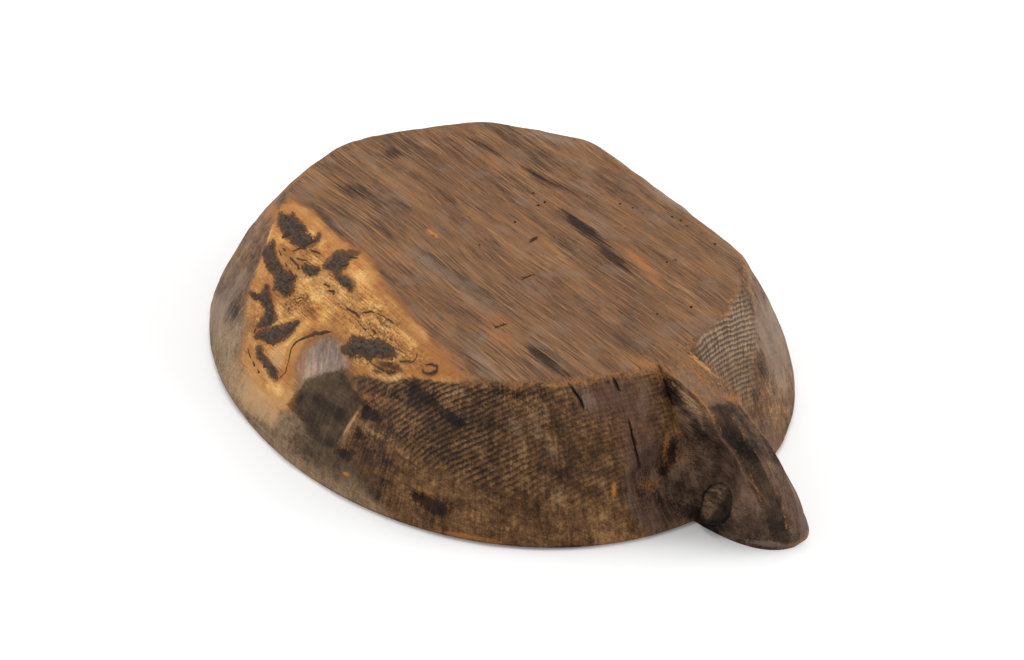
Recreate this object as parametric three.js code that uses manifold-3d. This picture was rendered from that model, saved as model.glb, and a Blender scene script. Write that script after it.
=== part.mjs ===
// Carved handled bowl: an oval bowl and its lug handle hewn from one half log, lying mouth down on its rim.
// Millimetres, +Z up, +X out along the handle.
// The origin lies on the table under the middle of the whole piece.
import * as THREE from "three";
import { mergeVertices } from "three/addons/utils/BufferGeometryUtils.js";
import Module from "manifold-3d";

const wasm = await Module();
wasm.setup();

const { degToRad, lerp, smoothstep } = THREE.MathUtils;

// Bowl, with lengths along the log and widths across it
const HEIGHT = 78;
const RIM_LENGTH = 398;
const RIM_WIDTH = 328;
const BASE_LENGTH = 292;
const BASE_WIDTH = 262;
const BASE_SHIFT = 9; // the base lies this much nearer to the handle than the rim does
const BELLY = 4; // swell of the wall past a straight line from rim to base
const WALL_LEVELS = [0.25, 0.5, 0.75]; // shares of the height where the swell is followed
const EDGE_WEAR = 3; // worn corner along the base and the rim
const WALL = 22; // at the rim
const FLOOR = 20; // over the hollow, under the base face
const HOLLOW_FULLNESS = 2.6; // 2 is an ellipse, and more is a squarer hollow

// Axe flats round the base: degrees from the log's axis, and the depth that each takes off the oval
const BASE_FLATS = [
  { azimuth: 20, depth: 2 },
  { azimuth: 90, depth: 23 },
  { azimuth: 126, depth: 12 },
  { azimuth: 161, depth: 8 },
  { azimuth: 245, depth: 10 },
  { azimuth: 283, depth: 26 },
  { azimuth: 318, depth: 5 },
  { azimuth: 336, depth: 7.5 },
];

// One long axe flat down the front of the wane: degrees from the log's axis, and how far its face looks up.
// It starts from the rim's own tangent.
const FRONT_FLAT = { azimuth: 281.3, lean: 37.4 };

// The log, whose own round is left standing as a wane along one side of the base
const LOG_RADIUS = 200;
const WANE_CUT = 45.5; // the wane's edge lies this far inside the base's oval
const WANE_WALL = 18; // least wood between the wane and the hollow
const PITH_OFFSET = 11; // to the far side of the bowl's middle
const LOG_SKEW = degToRad(-8); // the log's axis against the handle's

// Lug handle: a deep keel with its foot in the rim's plane and its crown running on from the base face
const HANDLE_ROOT = 21; // buried past the end of the base's oval
const HANDLE_REACH = 47; // past the end of the rim
const HANDLE_SIDE = 1; // offset of its crest from the bowl's middle
const HANDLE_LEFT = 31; // half widths of the foot, left and right of the crest
const HANDLE_RIGHT = 25;
const HANDLE_BLUNTNESS = 5.3; // higher keeps the foot wide for longer
const HANDLE_NOSE = 0.995; // share of the reach where the blunt nose is cut off
const CROWN_SINK = 0.6; // the crown's start under the base face
const CROWN = [ // share of the reach, share of the height
  [0, 1],
  [0.25, 1],
  [0.56, 0.88],
  [0.81, 0.62],
  [0.92, 0.4],
  [0.96, 0.28],
  [1, 0.09],
];
const FACETS_START = 0.5; // share of the reach where the flat crown turns into hewn facets
const FACETS_END = 0.7;
const RIDGE = { side: 0.34, drop: 3.5 }; // share of the left half width, and depth below the crest
const SHOULDER = { side: 0.64, noseSide: 0.78, drop: 14 }; // further out to the side at the nose
const LEFT_FLANK = { side: 0.8, up: 0.42 }; // where the hollow flanks turn: shares of half width and height
const RIGHT_FLANK = { side: 0.6, up: 0.5 };
const TOE = { side: 0.9, height: 5 }; // a flatter lip along the foot

// Scoop that the carver took out of the handle's left root, an ellipsoid
const SCOOP_OFFSET = new THREE.Vector3(1, -45, 36); // of its middle from the end of the rim
const SCOOP_RADII = new THREE.Vector3(31, 32, 33.5);

// Ingrown knot laid bare in the scoop
const KNOT_RADIUS = 11;
const KNOT_TAPER = 0.8; // inner radius over outer
const KNOT_LENGTH = 12; // below the scoop's surface
const KNOT_PROUD = 12; // trimmed off flush with it
const KNOT_OFFSET = new THREE.Vector3(4, 24.5, -21); // of its face from the scoop's middle
const KNOT_AXIS = new THREE.Vector3(-0.1, -0.97, 0.2).normalize();
const SEAT_GAP = 0.3; // round the knot and under the bark

// Bark left on the wane: place along the log and below the wane's edge, size, turn in degrees and outline.
// It is drawn on a wane of the breadth given here, and follows the real wane across.
const WANE_MIDDLE = -12; // along the log, where the wane is broadest
const WANE_DRAWN = 110.4;
const BARK_THICKNESS = 1.5;
const BARK_EDGE = 0.8; // thickness at its broken edge
const BARK_MIDDLE = 0.5; // share of its outline that has the full thickness
const BROAD_LOBES = 0.14; // waves of its outline, as shares of its size
const FINE_LOBES = 0.08;
const EXTRA_LOBES = 3; // of the fine waves over the broad ones
const BARK_PATCHES = [
  { along: -74, below: 11.7, length: 44, width: 11, turn: 2, lobes: 3 },
  { along: -63, below: 30.9, length: 42, width: 11, turn: -10, lobes: 4 },
  { along: -31, below: 14.5, length: 18, width: 13, turn: 61, lobes: 3 },
  { along: -46, below: 22.2, length: 11, width: 5, turn: 7, lobes: 2 },
  { along: -12, below: 11.7, length: 14, width: 6, turn: 3, lobes: 3 },
  { along: -51, below: 50.8, length: 22, width: 10, turn: -54, lobes: 3 },
  { along: -28, below: 55.3, length: 28, width: 9, turn: 56, lobes: 2 },
  { along: -22, below: 75.2, length: 25, width: 7, turn: -9, lobes: 4 },
  { along: 37, below: 27.7, length: 35, width: 12, turn: 20, lobes: 5 },
];

// Facets
const ROUND_STEPS = 132;
const LOG_STEPS = 150;
const HOLLOW_LEVELS = 9;
const HOLLOW_SWEEP = degToRad(88); // the last ring stops just short of the hollow's middle
const HANDLE_STATIONS = 18;
const SCOOP_STEPS = 44;
const KNOT_STEPS = 28;
const BARK_STEPS = 22;
const WANE_HALVINGS = 24;
const OVERRUN = 5; // of a cutting solid past the wood it cuts
const WELD = 1e-4; // points closer than this are one

// Places that follow from the sizes above
const handleStart = BASE_LENGTH / 2 - HANDLE_ROOT;
const handleTip = RIM_LENGTH / 2 + HANDLE_REACH;
const scoopMiddle = new THREE.Vector3(RIM_LENGTH / 2, 0, 0).add(SCOOP_OFFSET);
const knotFace = scoopMiddle.clone().add(KNOT_OFFSET);
const waneEdge = PITH_OFFSET + BASE_WIDTH / 2 - WANE_CUT; // from the pith, across the log
const waneSwing = -Math.asin(waneEdge / LOG_RADIUS); // of the wane's edge round the log from its top
const pithDepth = LOG_RADIUS * Math.cos(waneSwing) - HEIGHT; // below the rim

// A closed skin through rings of points, with each end closed to the middle of its ring.
// Rings run anticlockwise when seen from the last ring's end.
function loft(rings) {
  const steps = rings[0].length;
  const middle = (ring) => ring.reduce((sum, p) => sum.add(p), new THREE.Vector3()).divideScalar(steps);
  const points = [...rings.flat(), middle(rings[0]), middle(rings.at(-1))];
  const first = rings.length * steps;
  const last = first + 1;
  const faces = [];
  for (let k = 0; k < steps; k++) {
    const next = (k + 1) % steps;
    faces.push(first, next, k);
    for (let r = 0; r + 1 < rings.length; r++) {
      const low = r * steps;
      const high = low + steps;
      faces.push(low + k, low + next, high + next, low + k, high + next, high + k);
    }
    const top = (rings.length - 1) * steps;
    faces.push(last, top + k, top + next);
  }
  return new THREE.BufferGeometry().setFromPoints(points).setIndex(faces);
}

// The angles of a ring with the given number of points
const turns = (steps) => Array.from({ length: steps }, (_, k) => (k / steps) * 2 * Math.PI);

function toSolid(geometry) {
  const bare = geometry.clone();
  bare.deleteAttribute("normal");
  bare.deleteAttribute("uv");
  const merged = mergeVertices(bare, WELD);
  return new wasm.Manifold(
    new wasm.Mesh({
      numProp: 3,
      vertProperties: merged.attributes.position.array,
      triVerts: new Uint32Array(merged.index.array),
    }),
  );
}

function toGeometry(solid) {
  const { vertProperties, triVerts } = solid.getMesh();
  return new THREE.BufferGeometry()
    .setAttribute("position", new THREE.BufferAttribute(vertProperties, 3))
    .setIndex(new THREE.BufferAttribute(triVerts, 1));
}

// Radius of an oval at an angle
function ovalRadius(length, width, angle) {
  return 1 / Math.hypot(Math.cos(angle) / (length / 2), Math.sin(angle) / (width / 2));
}

// Radius of the base at an angle: its oval, with each axe flat laid off from the oval's own tangent
function baseRadius(angle) {
  const cuts = BASE_FLATS.map(({ azimuth, depth }) => {
    const facing = degToRad(azimuth);
    const tangent = Math.hypot((BASE_LENGTH / 2) * Math.cos(facing), (BASE_WIDTH / 2) * Math.sin(facing));
    const across = Math.cos(angle - facing);
    return across > 0 ? (tangent - depth) / across : Infinity;
  });
  return Math.min(ovalRadius(BASE_LENGTH, BASE_WIDTH, angle), ...cuts);
}

// Radius of the hewn wall at an angle, at a share of the height
function wallRadius(angle, rise) {
  const straight = lerp(ovalRadius(RIM_LENGTH, RIM_WIDTH, angle), baseRadius(angle), rise);
  return straight + BELLY * 4 * rise * (1 - rise);
}

// A point on a round about the pith, swung round it from its top
function onRound(along, swing, radius) {
  const y = PITH_OFFSET + radius * Math.sin(swing);
  return new THREE.Vector3(along, y, radius * Math.cos(swing) - pithDepth);
}

// Swing of the wane across its breadth at a place along the log.
// Its foot is found by halving the swing that holds it.
function waneBreadth(along) {
  let inside = 0;
  let outside = Math.PI / 2 + waneSwing;
  for (let halving = 0; halving < WANE_HALVINGS; halving++) {
    const swing = (inside + outside) / 2;
    const { x, y, z } = onRound(along, waneSwing - swing, LOG_RADIUS);
    const rise = z / HEIGHT;
    const out = x - BASE_SHIFT * rise;
    const hewn = z < 0 || Math.hypot(out, y) > wallRadius(Math.atan2(y, out), rise);
    if (hewn) outside = swing;
    else inside = swing;
  }
  return inside;
}

// The hewn blank before the log's round is taken off: the rim's oval rising to the base's flats
function hewnBlank() {
  const wear = EDGE_WEAR / HEIGHT;
  const levels = [
    { rise: 0, inset: EDGE_WEAR },
    ...[wear, ...WALL_LEVELS, 1 - wear].map((rise) => ({ rise, inset: 0 })),
    { rise: 1, inset: EDGE_WEAR },
  ];
  const rings = levels.map(({ rise, inset }) =>
    turns(ROUND_STEPS).map((angle) => {
      const radius = wallRadius(angle, rise) - inset;
      const x = BASE_SHIFT * rise + radius * Math.cos(angle);
      return new THREE.Vector3(x, radius * Math.sin(angle), HEIGHT * rise);
    }),
  );
  return cutFront(toSolid(loft(rings)));
}

// A blank with the front flat taken off: a plane that leans back from the rim's tangent
function cutFront(solid) {
  const facing = degToRad(FRONT_FLAT.azimuth);
  const lean = degToRad(FRONT_FLAT.lean);
  const level = new THREE.Vector3(Math.cos(facing), Math.sin(facing), 0);
  const tangent = Math.hypot((RIM_LENGTH / 2) * level.x, (RIM_WIDTH / 2) * level.y);
  const outward = level.multiplyScalar(Math.cos(lean)).setZ(Math.sin(lean));
  return solid.trimByPlane(outward.negate().toArray(), -tangent * Math.cos(lean));
}

// A round about the log's pith, long enough to pass both ends of the bowl
function logRound(radius) {
  const reach = RIM_LENGTH / 2 + OVERRUN;
  const rings = [-reach, reach].map((x) =>
    turns(LOG_STEPS).map((angle) => {
      const y = PITH_OFFSET + radius * Math.cos(angle);
      return new THREE.Vector3(x, y, radius * Math.sin(angle) - pithDepth);
    }),
  );
  return toSolid(loft(rings));
}

// The carved hollow, a superellipse in section, opened past the rim and kept inside the wane's wood
function hollow() {
  const depth = HEIGHT - FLOOR;
  const ring = (share, z) =>
    turns(ROUND_STEPS).map((angle) => {
      const radius = share * ovalRadius(RIM_LENGTH - 2 * WALL, RIM_WIDTH - 2 * WALL, angle);
      return new THREE.Vector3(radius * Math.cos(angle), radius * Math.sin(angle), z);
    });
  const power = 2 / HOLLOW_FULLNESS;
  const rings = [ring(1, -OVERRUN)];
  for (let level = 0; level <= HOLLOW_LEVELS; level++) {
    const swing = (HOLLOW_SWEEP * level) / HOLLOW_LEVELS;
    rings.push(ring(Math.cos(swing) ** power, depth * Math.sin(swing) ** power));
  }
  return toSolid(loft(rings)).intersect(logRound(LOG_RADIUS - WANE_WALL));
}

// The lug, lofted outwards through hewn sections
function handle() {
  const crown = new THREE.SplineCurve(CROWN.map(([out, up]) => new THREE.Vector2(out, up)));
  const rings = crown.getPoints(HANDLE_STATIONS).map((point) => {
    const out = point.x * HANDLE_NOSE;
    const x = lerp(handleStart, handleTip, out);
    const top = (HEIGHT - CROWN_SINK) * point.y;
    const narrowing = Math.sqrt(1 - out ** HANDLE_BLUNTNESS);
    const left = HANDLE_LEFT * narrowing;
    const right = HANDLE_RIGHT * narrowing;
    const hewn = smoothstep(out, FACETS_START, FACETS_END) * point.y;
    const shoulder = lerp(SHOULDER.side, SHOULDER.noseSide, smoothstep(out, FACETS_START, 1));
    const section = [
      [-left, 0],
      [right, 0],
      [RIGHT_FLANK.side * right, RIGHT_FLANK.up * top],
      [0, top],
      [-RIDGE.side * left, top - RIDGE.drop * hewn],
      [-shoulder * left, top - SHOULDER.drop * hewn],
      [-LEFT_FLANK.side * left, LEFT_FLANK.up * top],
      [-TOE.side * left, Math.min(TOE.height, (LEFT_FLANK.up * top) / 2)],
    ];
    return section.map(([y, z]) => new THREE.Vector3(x, HANDLE_SIDE + y, z));
  });
  return toSolid(loft(rings));
}

// The wood that the scoop takes away
function scoop() {
  const ball = new THREE.SphereGeometry(1, SCOOP_STEPS, SCOOP_STEPS / 2);
  return toSolid(ball.scale(...SCOOP_RADII).translate(...scoopMiddle));
}

// A tapered plug along the knot's axis, grown by a margin all over
function knotPlug(margin) {
  const length = KNOT_LENGTH + KNOT_PROUD + 2 * margin;
  const outer = KNOT_RADIUS + margin;
  const inner = KNOT_TAPER * KNOT_RADIUS + margin;
  const plug = new THREE.CylinderGeometry(outer, inner, length, KNOT_STEPS);
  const turn = new THREE.Quaternion().setFromUnitVectors(new THREE.Vector3(0, 1, 0), KNOT_AXIS);
  const middle = knotFace.clone().addScaledVector(KNOT_AXIS, (KNOT_PROUD - KNOT_LENGTH) / 2);
  return toSolid(plug.applyQuaternion(turn).translate(...middle));
}

// One flake of bark on the log's round, thickest in its middle and hewn off with the blank's sides
function barkPatch({ along, below, length, width, turn, lobes }, blank) {
  const tilt = degToRad(turn);
  const stretch = waneBreadth(WANE_MIDDLE) / WANE_DRAWN;
  const ring = (share, lift) =>
    turns(BARK_STEPS).map((angle) => {
      const broad = BROAD_LOBES * Math.cos(lobes * angle + along);
      const fine = FINE_LOBES * Math.cos((lobes + EXTRA_LOBES) * angle - along);
      const a = ((share * length) / 2) * (1 + broad + fine) * Math.cos(angle);
      const b = ((share * width) / 2) * (1 + broad + fine) * Math.sin(angle);
      const swing = waneSwing + stretch * (a * Math.sin(tilt) + b * Math.cos(tilt) - below);
      const x = along + a * Math.cos(tilt) - b * Math.sin(tilt);
      return onRound(x, swing, LOG_RADIUS + SEAT_GAP + lift);
    });
  const rings = [ring(BARK_MIDDLE, 0), ring(1, 0), ring(1, BARK_EDGE), ring(BARK_MIDDLE, BARK_THICKNESS)];
  return skewed(toSolid(loft(rings)).intersect(blank));
}

const skewed = (solid) => toSolid(toGeometry(solid).rotateZ(LOG_SKEW));

const weathered = new THREE.MeshStandardMaterial({ color: 0x6b4f38, roughness: 0.75, metalness: 0 });
const darkKnot = new THREE.MeshStandardMaterial({ color: 0x3b2a1e, roughness: 0.8, metalness: 0 });
const bark = new THREE.MeshStandardMaterial({ color: 0x2f2a27, roughness: 0.9, metalness: 0 });

const pieces = new THREE.Group();
function addPiece(name, geometry, material) {
  const mesh = new THREE.Mesh(geometry, material);
  mesh.name = name;
  pieces.add(mesh);
}

const blank = hewnBlank();
const block = skewed(blank.intersect(logRound(LOG_RADIUS))).add(handle()).subtract(scoop());
const knot = block.intersect(knotPlug(0));
const carved = block.subtract(skewed(hollow())).subtract(knotPlug(SEAT_GAP));
addPiece("carved_bowl", toGeometry(carved), weathered);
addPiece("handle_knot", toGeometry(knot), darkKnot);
BARK_PATCHES.forEach((patch, index) => {
  addPiece(`bark_patch_${index + 1}`, toGeometry(barkPatch(patch, blank)), bark);
});

// The origin goes under the middle of the box round all the pieces
const centre = new THREE.Box3().setFromObject(pieces).getCenter(new THREE.Vector3());
pieces.position.set(-centre.x, -centre.y, 0);

const part = new THREE.Group();
part.add(pieces);

export default part;
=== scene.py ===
"""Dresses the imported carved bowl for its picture.

A bowl hewn from half a log lies mouth down, with a lug handle carved from the same block. Shapes are
worked out in millimetres in the bowl's own frame, whose origin is the middle of the rim, and go into
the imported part's frame, in metres, when a mesh is made.
"""

import itertools
import logging
import math
from dataclasses import dataclass, field
from enum import Enum
from typing import ClassVar, Sequence, Union

import bpy
import numpy as np
from mathutils import Matrix, Vector
from mathutils.bvhtree import BVHTree


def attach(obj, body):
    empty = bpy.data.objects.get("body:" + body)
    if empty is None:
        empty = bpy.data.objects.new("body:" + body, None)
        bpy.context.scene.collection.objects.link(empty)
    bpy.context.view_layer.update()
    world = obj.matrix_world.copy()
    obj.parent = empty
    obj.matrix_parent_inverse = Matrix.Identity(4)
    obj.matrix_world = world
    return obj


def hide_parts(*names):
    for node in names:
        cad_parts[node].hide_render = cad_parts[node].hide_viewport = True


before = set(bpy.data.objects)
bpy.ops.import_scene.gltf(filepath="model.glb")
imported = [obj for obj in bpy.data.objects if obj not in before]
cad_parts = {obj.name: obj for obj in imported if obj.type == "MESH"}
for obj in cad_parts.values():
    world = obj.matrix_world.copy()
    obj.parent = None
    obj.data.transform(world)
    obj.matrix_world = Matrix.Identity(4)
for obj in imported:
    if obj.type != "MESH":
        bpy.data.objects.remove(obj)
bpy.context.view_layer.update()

Array = np.ndarray
Spot = tuple[float, float]
Place = tuple[float, float, float]
Rgb = tuple[int, int, int]
Stop = tuple[float, Rgb]
Feed = Union[bpy.types.NodeSocket, float, tuple]

LOGGER = logging.getLogger("carved_bowl")
MM = 0.001
TURN = 2 * math.pi
# From the bowl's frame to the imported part's, whose origin lies under the middle of the whole box
PART_SHIFT = np.array((-24.3961, -0.0309, 0.0))
# Odd numbers whose products scatter neighbouring cells over a 32-bit word
WORD = 2**32
SEED_PRIME = 2654435761
AXIS_PRIMES = (0x9E3779B1, 0x85EBCA77, 0xC2B2AE3D)
MIX_PRIME = 0x2C1B3C6D


class Join(Enum):
    """How a carving tool meets the wood."""

    ADD = "UNION"
    CUT = "DIFFERENCE"


class StainAndPaintedLight(Enum):
    """Layers of colour on the wood, and the attribute that carries each: stains that use and age left,
    painted shade in pits and on shaded facets, and painted highlight along ridge crests.
    """

    # DARK carries dark stains, and painted shade in pits, gouges, checks and scratches
    DARK = "stain_dark"
    # WARM carries warm stains, and painted highlight along ridge crests
    WARM = "stain_warm"
    GREY = "stain_grey"
    # PALE carries pale wood, and painted highlight on the front wall's ridge crests
    PALE = "stain_pale"
    GOLD = "stain_gold"
    RUST = "stain_rust"
    HATCH = "stain_hatch"
    FRASS = "stain_frass"
    RIDGED = "stain_ridged"
    SCAR = "stain_scar"
    FACET = "stain_facet"
    PLUM = "stain_plum"
    NICK = "stain_nick"
    # SHADE is painted shade, multiplied over shaded facets and the lower front wall
    SHADE = "stain_shade"


class Zone(Enum):
    """Parts of the wood's skin that are finished differently, and the attribute that carries each."""

    FLAT = "zone_flat"
    HOLLOW = "zone_hollow"
    HANDLE = "zone_handle"
    EDGE = "zone_edge"
    SIDE = "zone_side"
    RINGED = "zone_ringed"


def smoothstep(low: float, high: float, value: Array) -> Array:
    """A smooth rise from 0 at low to 1 at high, which falls where low is above high."""
    share = np.clip((value - low) / (high - low), 0.0, 1.0)
    return share * share * (3 - 2 * share)


def soft_min(first: Array, second: Array, width: Array) -> Array:
    """The smaller of two values, rounded off where they differ by less than width."""
    share = np.clip(0.5 + 0.5 * (second - first) / width, 0.0, 1.0)
    return second * (1 - share) + first * share - width * share * (1 - share)


def stack(*parts: Array) -> Array:
    """Arrays of one shape, side by side along a new last axis."""
    return np.stack(parts, axis=-1)


def scatter(cells: Array, seed: int) -> Array:
    """A fixed number from 0 to 1 for each whole-number cell, mixed from its coordinates.

    Args:
        cells: whole numbers, as (..., axis).
        seed: picks one pattern.

    Returns:
        One number for each cell.
    """
    mixed = np.full(cells.shape[:-1], (seed * SEED_PRIME) % WORD, dtype=np.uint32)
    for axis, prime in zip(range(cells.shape[-1]), AXIS_PRIMES):
        mixed = mixed ^ ((cells[..., axis] * prime) % WORD).astype(np.uint32)
        mixed = mixed ^ (mixed >> np.uint32(15))
        mixed = mixed * np.uint32(MIX_PRIME)
        mixed = mixed ^ (mixed >> np.uint32(12))
    return mixed / float(WORD)


def noise(points: Array, seed: int) -> Array:
    """Smooth noise from -1 to 1: a random value at each lattice point, blended by a quintic step.

    Args:
        points: places in lattice units, as (..., axis).
        seed: picks one pattern.

    Returns:
        One value for each place.
    """
    cell = np.floor(points).astype(np.int64)
    part = points - cell
    blend = part**3 * (part * (part * 6 - 15) + 10)
    total = np.zeros(points.shape[:-1])
    for corner in itertools.product((0, 1), repeat=points.shape[-1]):
        weight = np.prod(np.where(corner, blend, 1 - blend), axis=-1)
        total += weight * scatter(cell + corner, seed)
    return 2 * total - 1


def scallops(places: Array, seed: int) -> Array:
    """Dishes with ridges between: the squared distance to the nearest of one point strewn in each cell.

    Args:
        places: places in cell units, as (..., 2).
        seed: picks one pattern.

    Returns:
        Zero at the middle of each dish, rising to its ridges.
    """
    cell = np.floor(places).astype(np.int64)
    nearest = np.full(places.shape[:-1], np.inf)
    for step in itertools.product((-1, 0, 1), repeat=2):
        other = cell + step
        point = other + stack(scatter(other, seed), scatter(other, seed + 1))
        nearest = np.minimum(nearest, ((places - point) ** 2).sum(axis=-1))
    return nearest


def swung(points: Array, angle: float) -> Array:
    """Points turned about the vertical axis.

    Args:
        points: as (..., xyz).
        angle: radians, from X towards Y.

    Returns:
        The turned points.
    """
    cosine = math.cos(angle)
    sine = math.sin(angle)
    x = cosine * points[..., 0] - sine * points[..., 1]
    y = sine * points[..., 0] + cosine * points[..., 1]
    return stack(x, y, points[..., 2])


@dataclass
class Surface:
    """A skin of points in the bowl's frame, with faces as rows of point numbers."""

    points: Array
    quads: Array
    triangles: Array

    def outward(self) -> "Surface":
        """Turns a closed skin's faces outwards, told by the sign of the volume it holds.

        Returns:
            This skin, or the same one with its faces turned round.
        """
        corners = np.concatenate([self.quads[:, :3], self.quads[:, [0, 2, 3]], self.triangles])
        a, b, c = (self.points[corners[:, k]] for k in range(3))
        if np.einsum("ij,ij->", a, np.cross(b, c)) < 0:
            return Surface(self.points, self.quads[:, ::-1], self.triangles[:, ::-1])
        return self

    def to_object(self, name: str) -> bpy.types.Object:
        """A mesh object at the origin of the part's frame, in metres.

        Args:
            name: of the object and its mesh.

        Returns:
            The new object, linked to the scene.
        """
        mesh = bpy.data.meshes.new(name)
        placed = (self.points + PART_SHIFT) * MM
        mesh.from_pydata(placed.tolist(), [], self.quads.tolist() + self.triangles.tolist())
        piece = bpy.data.objects.new(name, mesh)
        bpy.context.scene.collection.objects.link(piece)
        return piece


def together(skins: Sequence[Surface]) -> Surface:
    """Several closed skins as one, without joining them.

    Args:
        skins: the skins in order.

    Returns:
        One skin with all their points and faces.
    """
    starts = np.cumsum([0] + [len(skin.points) for skin in skins[:-1]])
    points = np.concatenate([skin.points for skin in skins])
    quads = np.concatenate([skin.quads + start for skin, start in zip(skins, starts)])
    triangles = np.concatenate([skin.triangles + start for skin, start in zip(skins, starts)])
    return Surface(points, quads, triangles)


def tube(rings: Array) -> Surface:
    """A closed skin through rings of points, with each end closed to the middle of its ring.

    Args:
        rings: points as (ring, step, xyz).

    Returns:
        The skin, with its faces outwards.
    """
    count, steps = rings.shape[:2]
    index = np.arange(count * steps).reshape(count, steps)
    onward = np.roll(index, -1, axis=1)
    quads = stack(index[:-1], onward[:-1], onward[1:], index[1:]).reshape(-1, 4)
    first = stack(onward[0], index[0], np.full(steps, count * steps))
    last = stack(index[-1], onward[-1], np.full(steps, count * steps + 1))
    points = np.concatenate([rings.reshape(-1, 3), rings[[0, -1]].mean(axis=1)])
    return Surface(points, quads, np.concatenate([first, last])).outward()


def carve(wood: bpy.types.Object, tool: Surface, how: Join) -> None:
    """Joins a closed skin to the wood, or cuts it out, and keeps the result as the wood's mesh.

    Args:
        wood: the object that is changed.
        tool: the skin that meets it.
        how: add or cut.
    """
    cutter = tool.to_object("tool")
    step = wood.modifiers.new("carve", "BOOLEAN")
    step.operation = how.value
    step.solver = "MANIFOLD"
    step.object = cutter
    shaped = bpy.data.meshes.new_from_object(wood.evaluated_get(bpy.context.evaluated_depsgraph_get()))
    wood.modifiers.clear()
    old = wood.data
    wood.data = shaped
    bpy.data.meshes.remove(old)
    bpy.data.meshes.remove(cutter.data)


def read(items: bpy.types.bpy_prop_collection, name: str, width: int, kind: type) -> Array:
    """One property of a mesh's items.

    Args:
        items: points or edges.
        name: of the property.
        width: how many numbers it has.
        kind: of number.

    Returns:
        The numbers, as (item, width).
    """
    flat = np.empty(len(items) * width, dtype=kind)
    items.foreach_get(name, flat)
    return flat.reshape(-1, width)


def read_points(mesh: bpy.types.Mesh) -> Array:
    """A mesh's points in millimetres of the bowl's frame."""
    return read(mesh.vertices, "co", 3, float) / MM - PART_SHIFT


def write_points(mesh: bpy.types.Mesh, points: Array) -> None:
    """Moves a mesh's points to places in millimetres of the bowl's frame."""
    mesh.vertices.foreach_set("co", ((points + PART_SHIFT) * MM).ravel())
    mesh.update()


def read_normals(mesh: bpy.types.Mesh) -> Array:
    """A mesh's outward direction at each point."""
    return read(mesh.vertices, "normal", 3, np.float32).astype(float)


def read_edges(mesh: bpy.types.Mesh) -> Array:
    """A mesh's edges as pairs of point numbers."""
    return read(mesh.edges, "vertices", 2, np.int32)


def write_attribute(mesh: bpy.types.Mesh, name: str, values: Array) -> None:
    """Keeps one number for each point of a mesh under a name."""
    mesh.attributes.new(name, "FLOAT", "POINT").data.foreach_set("value", values.astype(np.float32))


def neighbour_mean(values: Array, edges: Array) -> Array:
    """The mean of the values at each point's neighbours along the edges.

    Args:
        values: as (point, ...).
        edges: pairs of point numbers.

    Returns:
        One mean for each point.
    """
    count = len(values)
    start = np.concatenate([edges[:, 0], edges[:, 1]])
    end = np.concatenate([edges[:, 1], edges[:, 0]])
    share = np.maximum(np.bincount(start, minlength=count), 1)
    columns = values.reshape(count, -1)
    sums = [np.bincount(start, weights=columns[end, k], minlength=count) for k in range(columns.shape[1])]
    return (np.stack(sums, axis=-1) / share[:, None]).reshape(values.shape)


def shade_by_angle(mesh: bpy.types.Mesh, angle: float) -> None:
    """Smooth shading, broken at edges sharper than an angle in degrees."""
    mesh.polygons.foreach_set("use_smooth", np.ones(len(mesh.polygons), dtype=bool))
    mesh.set_sharp_from_angle(angle=math.radians(angle))


@dataclass(frozen=True)
class PhotoView:
    """The camera of the picture: where it aims, from where, and its focal length in pixels."""

    aim: Place = (33.4, -17.47, 36.0)
    azimuth: float = 48.0
    elevation: float = 36.0
    distance: float = 1388.0
    focal: float = 2400.0
    width: float = 1024.0
    height: float = 660.0
    sensor: float = 36.0

    def axes(self) -> Array:
        """The camera's directions, turned round by its azimuth and up by its elevation.

        Returns:
            Right, up and backward as rows.
        """
        turn = math.radians(self.azimuth)
        rise = math.radians(self.elevation)
        right = (math.cos(turn), math.sin(turn), 0.0)
        level = math.cos(rise)
        back = (level * math.sin(turn), -level * math.cos(turn), math.sin(rise))
        return np.array([right, np.cross(back, right), back])

    def eye(self) -> Array:
        """The camera's place in the bowl's frame."""
        return np.array(self.aim) + self.distance * self.axes()[2]

    def pixels(self, points: Array) -> Array:
        """Where points fall in the picture: their place across the camera over their depth.

        Args:
            points: in the bowl's frame.

        Returns:
            Pixels from the picture's upper left corner.
        """
        seen = (points - self.eye()) @ self.axes().T
        scale = self.focal / -seen[:, 2]
        return stack(self.width / 2 + scale * seen[:, 0], self.height / 2 - scale * seen[:, 1])

    def rays(self, spots: Array) -> Array:
        """The direction of sight through each pixel, one unit deep.

        Args:
            spots: pixels.

        Returns:
            Directions in the bowl's frame.
        """
        right = (spots[:, 0] - self.width / 2) / self.focal
        up = (self.height / 2 - spots[:, 1]) / self.focal
        return stack(right, up, np.full(len(spots), -1.0)) @ self.axes()

    def facing(self, points: Array, normals: Array) -> Array:
        """How squarely each point's skin faces the camera, from 0 at a right angle to 1."""
        sight = self.eye() - points
        return np.clip((normals * sight).sum(axis=1) / np.linalg.norm(sight, axis=1), 0.0, 1.0)

    def add_camera(self) -> None:
        """Puts the camera into the scene."""
        data = bpy.data.cameras.new("photo_camera")
        data.sensor_width = self.sensor
        data.lens = self.focal / self.width * self.sensor
        camera = bpy.data.objects.new("photo_camera", data)
        place = Vector((self.eye() + PART_SHIFT) * MM)
        camera.matrix_world = Matrix.Translation(place) @ Matrix(self.axes().T.tolist()).to_4x4()
        bpy.context.scene.collection.objects.link(camera)
        bpy.context.scene.camera = camera


@dataclass(frozen=True)
class Dab:
    """A soft oval mark in the picture: its middle, half sizes and turn there, and its weight."""

    x: float
    y: float
    long: float
    wide: float
    turn: float = 0.0
    weight: float = 1.0


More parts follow.
